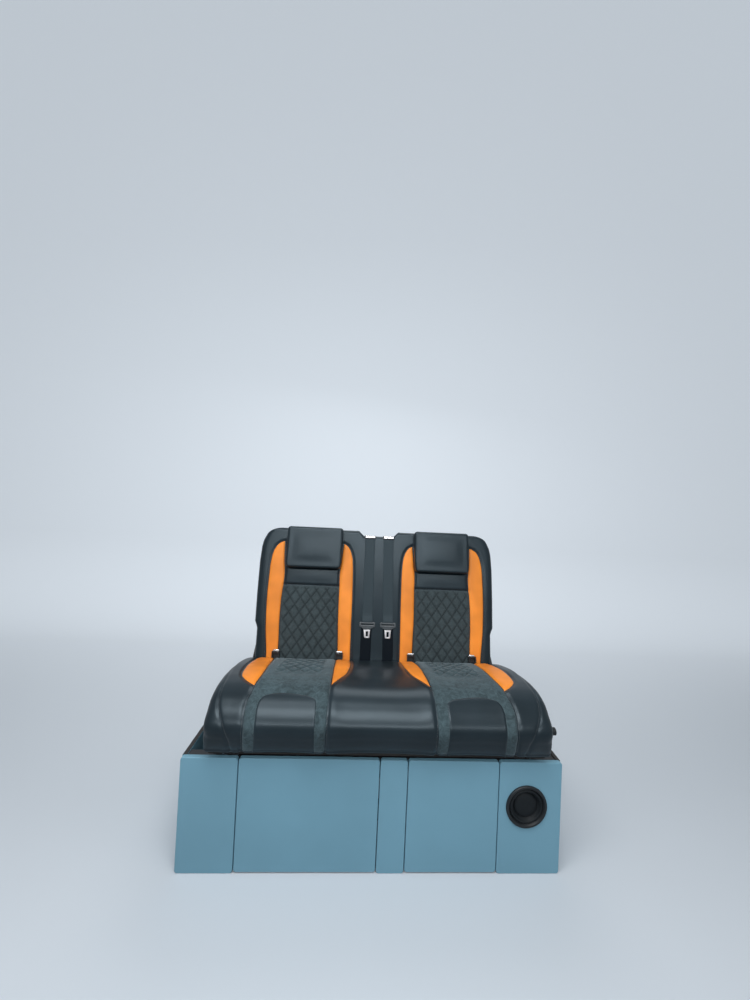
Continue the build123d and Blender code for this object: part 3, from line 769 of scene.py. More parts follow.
class Cushion:
    """A cushion's cover as a grid: rows run round its outline from the side, columns run across it."""

    def __init__(self, outline, flat_rows, core, half_at, roll, pitch, to_space):
        """outline: closed points of the side view, the first flat_rows of them in front. core: the line
        inside it that the ends shrink to. half_at: half the width at a height. roll: the ends' radius."""
        outline = np.asarray(outline, float)
        core_start, core_end = (np.asarray(p, float) for p in core)
        spine = core_end - core_start
        along = np.clip(((outline - core_start) @ spine) / (spine @ spine), 0, 1)
        to_core = core_start + along[:, None] * spine - outline
        depth = np.linalg.norm(to_core, axis=1)
        half_width = half_at(outline[:, 1])
        roll = np.broadcast_to(roll, half_width.shape)
        flat = np.linspace(-1, 1, 2 * round(max(half_width - roll) / pitch) + 1)
        roll_turns = np.linspace(0, math.pi / 2, 6)[1:]
        side_parts, side_step = (0.25, 0.5, 0.75, 0.93), 0.02
        rows, widths = [], []
        for (a, b), inward, deep, half, curl in zip(outline, to_core, depth, half_width, roll):
            insets = [(curl * (1 - math.cos(turn)), curl * (1 - math.sin(turn))) for turn in roll_turns]
            insets += [(curl + part * (deep - curl), 0.0) for part in side_parts]
            end = []
            for inset, drawn_in in insets:
                forward, up = a + inward[0] / deep * inset, b + inward[1] / deep * inset
                end.append((float(half_at(up)) - drawn_in, forward, up))
            middle = [(x * (half - curl), a, b) for x in flat]
            rows.append([(-x, forward, up) for x, forward, up in reversed(end)] + middle + end)
            tail = [half - curl + curl * turn for turn in roll_turns]
            tail += [half + curl + side_step * (k + 1) for k in range(len(side_parts))]
            widths.append([-v for v in reversed(tail)] + [x * (half - curl) for x in flat] + tail)
        self.across = np.array(widths)
        self.along = np.repeat(lengths(outline)[:, None], self.across.shape[1], axis=1)
        self.inner = half_width - roll
        self.ends = len(roll_turns) + len(side_parts)
        self.flat_rows = flat_rows
        self.grid = to_space(*np.moveaxis(np.array(rows), -1, 0))
        outward = (self.grid - self.grid.mean(axis=(0, 1))) * grid_normals(self.grid)
        self.side = np.sign(outward.sum())

    def normals(self):
        """Unit normals that point out of the cushion."""
        return grid_normals(self.grid) * self.side

    def blown_up(self, pinned, pressure, frames=20, calm=6):
        """How far each point moves when cloth is blown up between its pins, without the cloth's ripples."""
        piece = grid_piece("swelling", self.grid)
        pins = piece.vertex_groups.new(name="pins")
        for i, weight in enumerate(pinned.ravel()):
            if weight > 0:
                pins.add([i], float(weight), "REPLACE")
        cloth = piece.modifiers.new("cloth", "CLOTH")
        cloth.settings.use_pressure = True
        cloth.settings.uniform_pressure_force = pressure
        cloth.settings.effector_weights.gravity = 0
        cloth.settings.vertex_group_mass = "pins"
        cloth.settings.quality = 5
        for frame_number in range(1, frames + 1):
            bpy.context.scene.frame_set(frame_number)
        take(piece)
        bpy.ops.object.modifier_apply(modifier="cloth")
        bpy.context.scene.frame_set(1)
        moved = points_of(piece).reshape(self.grid.shape) - self.grid
        bpy.data.objects.remove(piece)
        for _ in range(calm):
            moved = calmer(moved)
        return moved

    def swell(self, seams, reach, cap, pressure=4.0, held=None):
        """Blows the cover up between its seams, but not where it is held, and caps how far it moves."""
        away = distance_to(seams, self.across, self.along)
        pinned = 1 - smooth_step(away, reach * 0.25, reach * 0.6)
        pinned[self.flat_rows:] = pinned[0] = 1
        pinned[:, :3] = pinned[:, -3:] = 1
        if held is not None:
            pinned = np.maximum(pinned, held(self.across, self.along))
        moved = self.blown_up(pinned, pressure)
        size = np.linalg.norm(moved, axis=2, keepdims=True)
        free = ((1 - pinned) * smooth_step(away, 0, reach))[..., None]
        print("swelled by", round(float(size.max()) * 1000, 1), "mm before the cap")
        self.grid = self.grid + moved / np.maximum(size, 1e-9) * cap * np.tanh(size / cap) * free

    def refine(self, times):
        """Makes the grid finer both ways, with its flat coordinates."""
        for name in ("grid", "across", "along"):
            rows = finer(getattr(self, name), times)
            setattr(self, name, np.swapaxes(finer(np.swapaxes(rows, 0, 1), times), 0, 1))
        self.inner = finer(self.inner, times)
        self.flat_rows *= times
        self.ends *= times

    def press(self, lines, depth, width):
        """Presses a soft valley along the lines."""
        far = distance_to(lines, self.across, self.along)
        self.grid = self.grid - self.normals() * (depth * np.exp(-((far / width) ** 2)))[..., None]

    def spot(self, x, s):
        """The surface point and normal at flat coordinates (x, s)."""
        x, s = np.asarray(x, float), np.asarray(s, float)
        row = np.interp(s, self.along[:, 0], np.arange(len(self.along)))
        low = np.clip(row.astype(int), 0, len(self.along) - 2)
        part = row - low
        inner = self.inner[low] * (1 - part) + self.inner[low + 1] * part
        columns = self.grid.shape[1]
        column = self.ends + (x / inner + 1) / 2 * (columns - 1 - 2 * self.ends)
        left = np.clip(column.astype(int), 0, columns - 2)
        over, part = (column - left)[..., None], part[..., None]

        def mixed(values):
            ends = [values[row, left] * (1 - over) + values[row, left + 1] * over for row in (low, low + 1)]
            return ends[0] * (1 - part) + ends[1] * part

        return mixed(self.grid), mixed(self.normals())

    def close(self, name):
        """The finished cover as one closed mesh."""
        self.grid[-1] = self.grid[0]
        piece = grid_piece(name, self.grid)
        merge(piece, 0.0001)
        fill_openings(piece)
        print(name, len(piece.data.polygons), "faces")
        return smooth(face_outward(piece))


print("a cushion can", [name for name in vars(Cushion) if not name.startswith("_")])

# %% [markdown]
# The seat cushion is seen from the side as a long shallow rise from the crease, a round nose over the front
# of the base, and a flat underside. Its ends are rolled: tightly at the crease, wider over the nose. The
# grid starts coarse, because cloth on a fine grid is slow and ripples, and is made finer afterwards.

# %% Seat cushion: its form
seat_top = [
    (135, 498), (91, 513), (2, 538), (-80, 557), (-153, 567), (-220, 574), (-282, 571), (-317, 558),
    (-340, 543), (-357, 530), (-369, 518), (-380, 503), (-386, 488), (-386, 472), (-381, 455),
    (-370, 426), (-351, 396),
]
seat_under = [(-351, 396), (-300, 396), (-130, 396), (40, 396), (95, 396)]
seat_rear = [(95, 396), (95, 408), (96, 421), (118, 423), (125, 427), (126, 440), (130, 470), (135, 498)]
seat_half = 0.561
top_rows = curve_through(seat_top, 43) * MM
lower_rows = [straight_run(seat_under, 12)[1:] * MM, straight_run(seat_rear, 10)[1:] * MM]
seat_outline = np.concatenate([top_rows, *lower_rows])
roll_places = [0, 0.147, 0.303, 0.401, 0.506, 0.600, 0.655, 0.700]
roll_radii = [0.012, 0.014, 0.021, 0.028, 0.036, 0.036, 0.014, 0.010]
seat = Cushion(
    outline=seat_outline,
    flat_rows=len(top_rows),
    core=((0.050, 0.452), (-0.315, 0.485)),
    half_at=lambda z: np.full(np.shape(z), seat_half),
    roll=np.interp(lengths(seat_outline), roll_places, roll_radii),
    pitch=0.016,
    to_space=lambda x, y, z: np.stack([x, y, z], axis=-1),
)
print("seat grid", seat.grid.shape)

# %% [markdown]
# The seams were read off the photograph. Each is a row of points: x, and how far along the cover from the
# crease. The two places are bordered by seams that run from the crease over the nose, and each place has a
# suede insert with a leather tongue sewn over its front half. The left place is drawn, and the right one is
# its mirror image.

# %% Seat cushion: its seams
outer_orange_out = [
    (-515, 0), (-512, 121), (-507, 248), (-500, 321), (-491, 353), (-478, 373), (-452, 401), (-429, 419),
]
outer_orange_in = [(-445, 0), (-442, 33), (-426, 264), (-425, 360), (-429, 419)]
insert_out = [(-429, 419), (-432, 457), (-437, 482), (-438, 512), (-434, 552), (-434, 588), (-441, 665)]
inner_orange_in = [(-174, 0), (-174, 408)]
inner_orange_out = [(-111, 0), (-112, 235), (-124, 304), (-144, 352), (-175, 412)]
insert_in = [(-175, 412), (-177, 583), (-180, 665)]
tongue_out = [(-391, 462), (-402, 481), (-405, 504), (-403, 535), (-402, 587), (-410, 665)]
tongue_in = [(-211, 479), (-210, 514), (-208, 564), (-209, 665)]
tongue_arch = [
    (-391, 462), (-370, 453), (-340, 447), (-304, 447), (-267, 452), (-234, 460), (-217, 471),
    (-211, 479),
]
side_seam = [
    (-556, 0), (-561, 147), (-546, 303), (-535, 385), (-532, 440), (-528, 475), (-520, 506), (-511, 526),
    (-496, 556), (-480, 600), (-474, 660),
]
seat_seams = both_seams([
    outer_orange_out, outer_orange_in, insert_out, inner_orange_in, inner_orange_out, insert_in,
])
seat_side_seams = both_seams([side_seam])
seat.swell(seat_seams + seat_side_seams, reach=0.05, cap=0.007)
seat.refine(4)
print("seat grid", seat.grid.shape, "with", len(seat_seams + seat_side_seams), "seams")

# %% [markdown]
# Thread pulls the cover in along each seam, so a soft valley is pressed there. The child-seat guides stand
# in the crease, and the foam gives way to them: behind the plane of their fronts the cushion is pushed
# forward, beside each guide only. Then the ends of the grid are closed.

# %% Seat cushion: valleys, pockets for the anchor guides, and its cover
seat.press(seat_seams, depth=0.004, width=0.007)
seat.press(seat_side_seams, depth=0.0025, width=0.005)
place_x, anchor_half = 0.302, 0.140
guide_x = [side * place_x + half * anchor_half for side in (-1, 1) for half in (-1, 1)]
pocket_half, pocket_edge = 0.019, 0.030
pan_top, pan_clear, play = 0.422, 0.426, 0.006
guide_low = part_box("anchor_guides")[0]
guide_front = float((np.array([0, guide_low.y, guide_low.z]) - hinge) @ back_out) + play
forward = (seat.grid - hinge) @ back_out
for x in guide_x:
    beside = 1 - smooth_step(np.abs(seat.grid[..., 0] - x), pocket_half, pocket_edge)
    above_pan = smooth_step(seat.grid[..., 2], pan_top, pan_clear)
    push = np.maximum(guide_front - forward, 0) * beside * above_pan
    seat.grid = seat.grid + push[..., None] * back_out
seat_cover = dress(seat.close("seat_cover"), "black_leather")
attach(seat_cover, "seat")
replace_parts(seat_cover, "seat_cushion")

# %% [markdown]
# The panels of another colour are thin closed pads that lie on the foam, bounded by the same seams.
# Painting them on the cover would be easier, but would show no edge. Each is a grid between a left and a
# right edge. Its border rolls down into the seam, so that light catches the edge as it does on a sewn
# panel.

# %% Panels


def panel(name, cushion, left, right, starts, ends, pitch=0.004, lift=0.0016, edge=0.007, relief=None):
    """A panel between two edges. starts and ends give s at each end, as numbers or as curves (x, s)."""
    left, right = (curve_through(scaled(line), 90) for line in (left, right))
    rim_drop, thickness, fewest, weld = 0.0024, 0.003, 6, 0.0002

    def reach(line, s):
        order = np.argsort(line[:, 1])
        return np.interp(s, line[order, 1], line[order, 0])

    def bound(limit, x):
        if isinstance(limit, (int, float)):
            return np.full(np.shape(x), limit * MM)
        limit = curve_through(scaled(limit), 60)
        order = np.argsort(limit[:, 0])
        return np.interp(x, limit[order, 0], limit[order, 1])

    width = max(abs(right[:, 0].max() - left[:, 0].min()), 0.02)
    middle = (left[:, 0].mean() + right[:, 0].mean()) / 2
    length = float(bound(ends, middle)) - float(bound(starts, middle))
    u = np.linspace(0, 1, max(int(width / pitch), fewest) + 1)[None, :]
    v = np.linspace(0, 1, max(int(length / pitch), fewest) + 1)[:, None]
    x = left[:, 0].mean() * (1 - u) + right[:, 0].mean() * u + 0 * v
    for _ in range(3):
        s = bound(starts, x) * (1 - v) + bound(ends, x) * v
        x = reach(left, s) * (1 - u) + reach(right, s) * u
    wide = reach(right, s) - reach(left, s)
    rim = np.minimum.reduce([u * wide, (1 - u) * wide, v * length + 0 * u, (1 - v) * length + 0 * u])
    rise = lift - (lift + rim_drop) * (1 - np.clip(rim / edge, 0, 1)) ** 2
    sunk = relief(x, s) * smooth_step(rim, 0, 2 * edge) if relief else 0.0
    place, normal = cushion.spot(x, s)
    piece = grid_piece(name, place + normal * (rise + sunk)[..., None])
    # Where the relief sinks, the groove attribute tells the suede how much painted shade to put in its grooves.
    if relief:
        groove = piece.data.attributes.new("groove", "FLOAT", "POINT")
        groove.data.foreach_set("value", np.clip(sunk / sunk.min(), 0, 1).ravel())
    edit(piece, action="SELECT")
    bpy.ops.mesh.remove_doubles(threshold=weld)
    if cushion.side < 0:
        bpy.ops.mesh.flip_normals()
    leave_edit()
    applied(piece, "SOLIDIFY", thickness=thickness, offset=-1.0)
    return smooth(piece)


def sew_on(cushion, body, panels):
    """Makes each panel for the left place, then each mirrored for the right one, and lets them ride along."""
    for side, turn in (("left", 1), ("right", -1)):
        for name, slot, finish, outer, inner, starts, ends, form in panels:
            edges = [on_side(outer, turn), on_side(inner, turn)][::turn]
            if isinstance(starts, list):
                starts = on_side(starts, turn)
            piece = panel(f"{name}_{side}", cushion, *edges, starts, ends, **form)
            dress(piece, slot, finish)
            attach(piece, body)


def to_diamonds(x, s, centre_x, wide, high):
    """Distance across to the nearest line of a pattern of diamonds, which is centred on each place."""
    across = (x - np.sign(x) * centre_x) / wide
    lines = (across + s / high, across - s / high)
    return np.minimum(*(np.abs(line - np.round(line)) for line in lines)) * wide


middle = to_diamonds(np.array([-0.3]), 0.0, 0.3, 0.046, 0.066)
print("the pattern has a crossing in the middle of a place:", float(middle[0]) == 0)

# %% [markdown]
# Each seat insert is embossed with diamonds at its rear, which fade out towards the front. The diamonds
# stand up from the insert rather than sink into it, because a thin panel pressed deeper would let the cover
# through.

# %% Panels of the seat
front_edge = 655


def embossing(x, s):
    """Raised diamonds on the rear of a seat insert, with grooves between them."""
    raised, groove, soft, centre_x = 0.0048, 0.0069, 0.0050, 0.300
    near = to_diamonds(x, s, centre_x, 0.046, 0.066)
    inside = 1 - smooth_step(np.abs(x - np.sign(x) * centre_x), 0.078, 0.092)
    here = smooth_step(s, 0.020, 0.060) * (1 - smooth_step(s, 0.262, 0.318)) * inside
    return (raised - groove * np.exp(-(near / soft) ** 1.3)) * here


sew_on(seat, "seat", [
    # name, slot, finish if not the slot's own, outer and inner edge, where it starts and ends, form
    ("seat_orange_outer", "orange_leather", None, outer_orange_out, outer_orange_in, 6, 418, {}),
    ("seat_orange_inner", "orange_leather", None, inner_orange_in, inner_orange_out, 6, 411, {}),
    (
        "seat_insert", "suede", seat_suede, outer_orange_in[:-1] + insert_out,
        inner_orange_in + insert_in[1:], 6, front_edge,
        {"pitch": 0.0034, "lift": 0.0024, "relief": embossing},
    ),
    (
        "seat_tongue", "black_leather", None, tongue_out, tongue_in, tongue_arch, front_edge + 4,
        {"lift": 0.0034},
    ),
])
print("seat dressed")

# %% [markdown]
# The backrest cushion is a slab with rolled edges, round shoulders and a dip in the top where the belts
# pass over. It is made like the seat, from its outline seen from the side. Its width changes with height,
# narrower beside the hinges and drawn in at the shoulders.

# %% Backrest cushion: its form
back_t, back_top, top_round = 0.100, 0.591, 0.018
rear_n = back_front - back_t
front_run = straight_run([(back_front, -crease_up), (back_front, back_top - top_round)], 41)


def arc(centre, radius, start, end, count):
    """Points on a quarter or half circle in the side view, without the first one."""
    angles = np.linspace(start, end, count)[1:]
    return [(centre[0] + math.cos(a) * radius, centre[1] + math.sin(a) * radius) for a in angles]


roll_over = arc((back_front - top_round, back_top - top_round), top_round, 0, math.pi / 2, 5)
top_run = straight_run([
    (back_front - top_round, back_top), (rear_n + 0.008, back_top), (rear_n, back_top - 0.010),
], 6)[1:]
rear_run = straight_run([(rear_n, back_top - 0.010), (rear_n, -crease_up)], 14)[1:]
bottom_arc = arc((0.0, -crease_up), back_front, math.pi, 2 * math.pi, 9)
back_outline = np.concatenate([front_run, roll_over, top_run, rear_run, bottom_arc])
heights, halves = scaled([
    (-100, 541), (4, 541), (71, 543), (126, 545), (154, 557), (283, 562), (427, 565), (500, 562),
    (530, 556), (547, 548), (560, 541), (574, 530), (584, 517), (591, 500),
]).T


def back_space(x, forward, up):
    """Backrest coordinates to the frame's, with the belt dip in the top."""
    dip_depth = 0.024
    dip = (1 - smooth_step(np.abs(x), 0.072, 0.096)) * smooth_step(up, 0.49, 0.560) * dip_depth
    return on_back(x, forward, up - dip)


back = Cushion(
    outline=back_outline,
    flat_rows=len(front_run) + len(roll_over) + 2,
    core=((0.0, 0.0), (0.0, back_top - 0.055)),
    half_at=lambda up: np.interp(up, heights, halves),
    roll=0.028,
    pitch=0.016,
    to_space=back_space,
)
back.along = back.along - crease_up
print("back grid", back.grid.shape)

# %% [markdown]
# On the backrest, s is the height above the crease. Strips of orange run up both sides of each place and
# meet its quilt, which ends at a cross seam, with a plain band above it. Under the headrest pads and the
# belts the cover lies flat: it is held down there, so that it doesn't swell through them.

# %% Backrest cushion: its seams and its cover
strip_out = [
    (-486, -40), (-489, 5), (-504, 132), (-511, 246), (-512, 359), (-510, 425), (-505, 460), (-497, 486),
    (-485, 506), (-472, 516), (-460, 522), (-448, 525),
]
strip_in = [
    (-434, -40), (-435, 42), (-441, 160), (-442, 249), (-438, 395), (-443, 430), (-446, 476),
    (-448, 525),
]
inner_strip_in = [
    (-172, -40), (-172, 14), (-179, 200), (-180, 305), (-180, 400), (-176, 430), (-173, 471), (-168, 523),
]
inner_strip_out = [
    (-110, -40), (-111, 16), (-112, 160), (-113, 292), (-117, 415), (-121, 455), (-126, 475), (-132, 491),
    (-139, 503), (-148, 513), (-158, 519), (-168, 523),
]
quilt_top = [(-440, 321), (-304, 321), (-181, 319)]
edge_seam = [(-552, -40), (-552, 560)]
back_seams = both_seams([strip_out, strip_in, inner_strip_in, inner_strip_out])
back_cross = both_seams([quilt_top], np.asarray)
back_side_seams = both_seams([edge_seam], np.asarray)


def held_down(x, s):
    """Where pads and belts keep the cover flat: 1 under them, 0 away from them."""
    under_pad = smooth_step(s, 0.375, 0.402) * smooth_step(np.abs(x), 0.150, 0.176)
    under_pad = under_pad * (1 - smooth_step(np.abs(x), 0.434, 0.452))
    under_belts = 1 - smooth_step(np.abs(x - 0.007), 0.080, 0.100)
    return np.maximum(under_pad, under_belts)


back.swell(back_seams + back_cross + back_side_seams, reach=0.045, cap=0.006, held=held_down)
back.refine(4)
back.press(back_seams, depth=0.004, width=0.007)
back.press(back_cross, depth=0.003, width=0.006)
back_cover = dress(back.close("back_cover"), "black_leather")
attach(back_cover, "backrest")
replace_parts(back_cover, "back_cushion")

# %% [markdown]
# The quilted part is suede sewn through wadding in diamonds. Two families of sloping lines cross, and the
# cover puffs between them. The relief falls off steeply at a line and levels out in the middle of a
# diamond, as a cover that is pulled down by thread does.

# %% Panels of the backrest


def quilting(x, s):
    """Relief of the diamonds: zero in the middle of a diamond, deep along the sewn lines."""
    groove, soft, centre_x = 0.0042, 0.0042, 0.307
    return -groove * np.exp(-(to_diamonds(x, s, centre_x, 0.048, 0.066) / soft) ** 1.2)


sew_on(back, "backrest", [
    # name, slot, finish if not the slot's own, outer and inner edge, where it starts and ends, form
    ("back_orange_outer", "orange_leather", None, strip_out, strip_in, -38, 525, {}),
    ("back_orange_inner", "orange_leather", None, inner_strip_in, inner_strip_out, -38, 523, {}),
    (
        "back_quilt", "suede", None, strip_in, inner_strip_in, -38, 320,
        {"pitch": 0.0026, "lift": 0.0046, "edge": 0.009, "relief": quilting},
    ),
    ("back_band", "black_leather", None, strip_in, inner_strip_in, 320, 401, {"lift": 0.0022}),
])
print("backrest dressed")

# %% [markdown]
# Topstitching runs along the seams, on the leather beside them. A bump would do from afar, but stitches
# catch light one by one. One stitch is a small icosphere, stretched into a thread. The Array modifier
# repeats it, and each copy is laid on the cushion along its seam.

# %% Stitching
stitch_size = (0.0031, 0.0009, 0.0009)
stitch_pitch, stitch_aside = 0.0045, 0.0035


def stitching(name, cushion, body, rows):
    """Stitches beside seams. A row has its seam, the side it lies on and its height on the cover."""
    places, alongs, normals = [], [], []
    for turn in (1, -1):
        for line, aside, height in rows:
            track = curve_through(scaled(on_side(line, turn)), 300)
            run = lengths(track)
            at = np.arange(stitch_pitch, run[-1] - stitch_pitch, stitch_pitch)
            x, s = np.interp(at, run, track[:, 0]), np.interp(at, run, track[:, 1])
            step_x, step_s = (aside * turn * stitch_aside * np.gradient(v, at) for v in (x, s))
            place, normal = cushion.spot(x + step_s, s - step_x)
            along = np.gradient(place, axis=0)
            places.append(place + normal * height)
            alongs.append(along / np.linalg.norm(along, axis=1, keepdims=True))
            normals.append(normal)
    place, along, normal = (np.concatenate(parts) for parts in (places, alongs, normals))
    deselect()
    bpy.ops.mesh.primitive_ico_sphere_add(subdivisions=1, radius=0.5)
    piece = bpy.context.active_object
    piece.name = name
    one = points_of(piece) * stitch_size
    applied(piece, "ARRAY", count=len(place))
    ways = (along, np.cross(normal, along), normal)
    laid = place[:, None] + sum(one[None, :, k, None] * way[:, None] for k, way in enumerate(ways))
    move_points(piece, laid.reshape(-1, 3))
    smooth(piece)
    dress(piece, "stitching")
    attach(piece, body)
    print(name, len(place), "stitches")


on_cover, on_panel, on_tongue = 0.0002, 0.0012, 0.0021
stitching("seat_stitching", seat, "seat", [
    (outer_orange_out + insert_out[1:], -1, on_cover),
    (inner_orange_out + insert_in[1:], 1, on_cover),
    (side_seam, 1, on_cover),
    (tongue_out[::-1] + tongue_arch[1:] + tongue_in[1:], -1, on_tongue),
])
stitching("back_stitching", back, "backrest", [
    (strip_out, -1, on_cover),
    (inner_strip_out, 1, on_cover),
    (quilt_top, -1, on_panel),
])

# %% [markdown]
# The headrests are boxed pads, a little softer than the backrest. They are built like the cushions, on a
# finer grid, from a side view with round corners, and are pinned along their borders so that the faces
# swell.

# %% Headrest pads
rest_x = 0.304
pad_low, pad_top = 0.399, 0.592
pad_front, pad_rear = back_front + 0.0445, back_front + 0.0030
pad_round, pad_foot, pad_edge, pad_inset = 0.013, 0.009, 0.004, 0.021
pad_face = straight_run([(pad_front, pad_low + pad_foot), (pad_front, pad_top - pad_round)], 20)
pad_brow = arc((pad_front - pad_round, pad_top - pad_round), pad_round, 0, math.pi / 2, 5)
pad_crown = [(pad_front - pad_round, pad_top), (pad_rear + pad_edge, pad_top), (pad_rear, pad_top - pad_edge)]
pad_back = [(pad_rear, pad_top - pad_edge), (pad_rear, pad_low + pad_edge)]
pad_sole = [(pad_rear, pad_low + pad_edge), (pad_rear + pad_edge, pad_low), (pad_front - pad_foot, pad_low)]
pad_lip = arc((pad_front - pad_foot, pad_low + pad_foot), pad_foot, -math.pi / 2, 0, 5)
pad_runs = [straight_run(run, count)[1:] for run, count in ((pad_crown, 4), (pad_back, 10), (pad_sole, 5))]
pad_outline = np.concatenate([pad_face, pad_brow, *pad_runs, pad_lip])
pad_heights = [0.399, 0.404, 0.412, 0.424, 0.440, 0.575, 0.586, 0.592]
pad_halves = [0.1230, 0.1255, 0.1280, 0.1300, 0.1310, 0.1310, 0.1305, 0.1300]


def headrest_pad(name, centre):
    """One boxed pad with its soft face and its side seams."""
    pad = Cushion(
        outline=pad_outline,
        flat_rows=len(pad_face) + len(pad_brow) + 1,
        core=((pad_front - pad_inset, pad_low + pad_inset), (pad_front - pad_inset, pad_top - pad_inset)),
        half_at=lambda up: np.interp(up, pad_heights, pad_halves),
        roll=0.011,
        pitch=0.0095,
        to_space=lambda x, n, w: on_back(centre + x, n, w),
    )
    upper_end = pad_top - pad_low - pad_round - pad_foot + 0.012
    border = [[(x, -0.02), (x, 0.3)] for x in (-0.120, 0.120)]
    border += [[(-0.13, s), (0.13, s)] for s in (0.0, upper_end)]
    pad.swell(border, reach=0.05, cap=0.005)
    pad.refine(3)
    pad.press([[(x, 0.0), (x, 0.3)] for x in (-0.1240, 0.1240)], depth=0.0009, width=0.0022)
    piece = dress(pad.close(name), "black_leather")
    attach(piece, "backrest")
    return piece


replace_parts(headrest_pad("headrest_pad_left", -rest_x), "headrest_left")
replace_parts(headrest_pad("headrest_pad_right", rest_x), "headrest_right")

# %% [markdown]
# Flaps and belts are flat bands. Each starts as a grid whose rows follow a smooth path seen from the side,
# keeps a UV map in metres across and along, and is given its thickness by Solidify and softer edges by a
# small bevel. A curve with a profile would do too, but it would twist at the bends and carry no such map.

# %% Bands


def band(name, path, centre, width, thickness, columns=6, wander=None):
    """A flat band along a path of (forward, up) points, about centre, that may wander sideways on its way."""
    path = np.asarray(path, float)
    run = lengths(path)
    across = np.linspace(-width / 2, width / 2, columns + 1)
    shift = wander(path[:, 1]) if wander else np.zeros(len(path))
    x = centre + shift[:, None] + across[None, :]
    piece = grid_piece(name, on_back(x, path[:, :1] + 0 * x, path[:, 1:] + 0 * x))
    layer = piece.data.uv_layers.active.data
    for loop in piece.data.loops:
        row, column = divmod(loop.vertex_index, columns + 1)
        layer[loop.index].uv = (across[column], run[row])
    applied(piece, "SOLIDIFY", thickness=thickness, offset=0.0)
    applied(piece, "BEVEL", width=0.0004, segments=1, limit_method="ANGLE", angle_limit=math.radians(60))
    print(name, round(float(run[-1]), 3), "m long")
    return smooth(face_outward(piece), angle=50)


flap_w, flap_t = 0.230, 0.003
belt_w, belt_t = 0.048, 0.0014
print("flaps are", flap_w, "wide and", flap_t, "thick, belts", belt_w, "and", belt_t)

# %% [markdown]
# Each headrest hangs in front of the cushion from a leather flap, which goes over the top of the backrest
# and down behind the board. Its path starts inside the pad and clears the rounded edges on its way.

# %% Headrest flaps
flap_path = curve_through([
    (pad_front - 0.016, pad_top - 0.0010), (pad_front - 0.026, pad_top + 0.0008),
    (pad_front - 0.042, pad_top + 0.0020), (0.030, pad_top + 0.0026), (0.0, pad_top + 0.0032),
    (-0.030, pad_top + 0.0050), (-0.048, pad_top + 0.0095), (-0.056, pad_top + 0.0102),
    (-0.0625, pad_top + 0.0075), (-0.0650, pad_top + 0.0010), (-0.0650, 0.540), (-0.0648, 0.484),
], 60)
flaps = []
for side, centre in (("left", -rest_x), ("right", rest_x)):
    flap = band(f"headrest_flap_{side}", flap_path, centre, flap_w, flap_t, columns=12)
    dress(flap, "black_leather")
    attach(flap, "backrest")
    flaps.append(flap)
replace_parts(flaps[0], "headrest_straps")

# %% [markdown]
# The belts come out of their reels behind the board, pass over the dip in the top, hang down the cushion
# and go through the slot of a tongue. They lie on the cover, so their path is read off its surface. Below
# the tongue the same belt goes down into the crease, in a darker, duller copy of its webbing whose darkness is
# painted shade.

# %% Belts
belt_clear = 0.0014
belt_x = {"left": -0.0405, "right": 0.0550}
belt_drift = {"left": 0.0, "right": -0.0055}
belt_slant = {"left": -0.0045, "right": 0.0025}
slot_up, belt_top = 0.154, 0.567
through_slot = [
    # forward from the belt's face, up from the slot
    (-0.0002, -0.001), (0.0022, 0.003), (0.0058, 0.009), (0.0062, 0.015), (0.0040, 0.026),
    (0.0012, 0.038), (0.0, 0.048),
]
over_top = [
    (-0.0320, 0.5690), (-0.0480, 0.5740), (-0.0580, 0.5745), (-0.0640, 0.5720), (-0.0660, 0.5665),
    (-0.0660, 0.5560),
]


def belt_surface(centre, s):
    """Where the cover lies under a belt, as (forward, up) for each s."""
    place, _ = back.spot(np.full(np.shape(s), centre), s)
    return np.stack([(place - hinge) @ back_out, (place - hinge) @ back_up - crease_up], axis=1)


def belt_piece(name, path, side, finish, wander):
    """One length of webbing that rides with the backrest."""
    piece = dress(band(name, path, belt_x[side], belt_w, belt_t, wander=wander), "webbing", finish)
    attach(piece, "backrest")
    return piece


for side, centre in belt_x.items():
    cover = belt_surface(centre, np.linspace(slot_up + 0.05, 0.645, 110))
    tangent = np.gradient(cover, axis=0)
    tangent /= np.linalg.norm(tangent, axis=1, keepdims=True)
    upper = cover + np.stack([tangent[:, 1], -tangent[:, 0]], axis=1) * belt_clear
    face = upper[0, 0]
    start = curve_through(np.array(through_slot) + (face, slot_up), 26)
    over = curve_through([tuple(upper[-1]), *over_top], 18)
    whole = np.concatenate([start, upper[1:], over[1:]])
    drift = belt_drift[side]
    upper_belt = belt_piece(
        f"belt_upper_{side}", whole, side, webbing,
        lambda up, drift=drift: drift * smooth_step(up, slot_up, belt_top),
    )
    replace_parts(upper_belt, f"belt_{side}")
    lower = belt_surface(centre, np.linspace(-0.034, slot_up - 0.004, 40))
    lower[:, 0] = np.maximum(lower[:, 0] + belt_clear, face - 0.0004)
    slant = belt_slant[side]
    belt_piece(
        f"belt_lower_{side}", lower, side, shaded_webbing, lambda up, slant=slant: slant * (1 - up / 0.3)
    )

# %% [markdown]
# A tongue has a moulded bar with a slot for the belt and a steel blade with a hole that the buckle grips.
# Both are plates with a hole. A Boolean could cut it, but leaves faces that bevel badly: here a cube is
# flattened, its corners are bevelled, its front and back faces are inset, and the two inner faces are
# bridged into a hole.

# %% Plates with a hole


def slab(name, width, height, thickness):
    """A cube primitive made into a slab about the origin, facing -Y."""
    deselect()
    bpy.ops.mesh.primitive_cube_add(size=1)
    piece = bpy.context.active_object
    piece.name = name
    piece.scale = (width, thickness, height)
    return settle(piece)


def round_corners(piece, radius, segments=4, low=None):
    """Bevels the edges that run through the slab's thickness, or only the low or the high ones."""
    choose_edges(
        piece,
        lambda a, b: abs(a.x - b.x) < 1e-6 and abs(a.z - b.z) < 1e-6 and (low is None or (a.z < 0) == low),
    )
    bpy.ops.mesh.bevel(offset=radius, segments=segments, affect="EDGES")
    leave_edit()


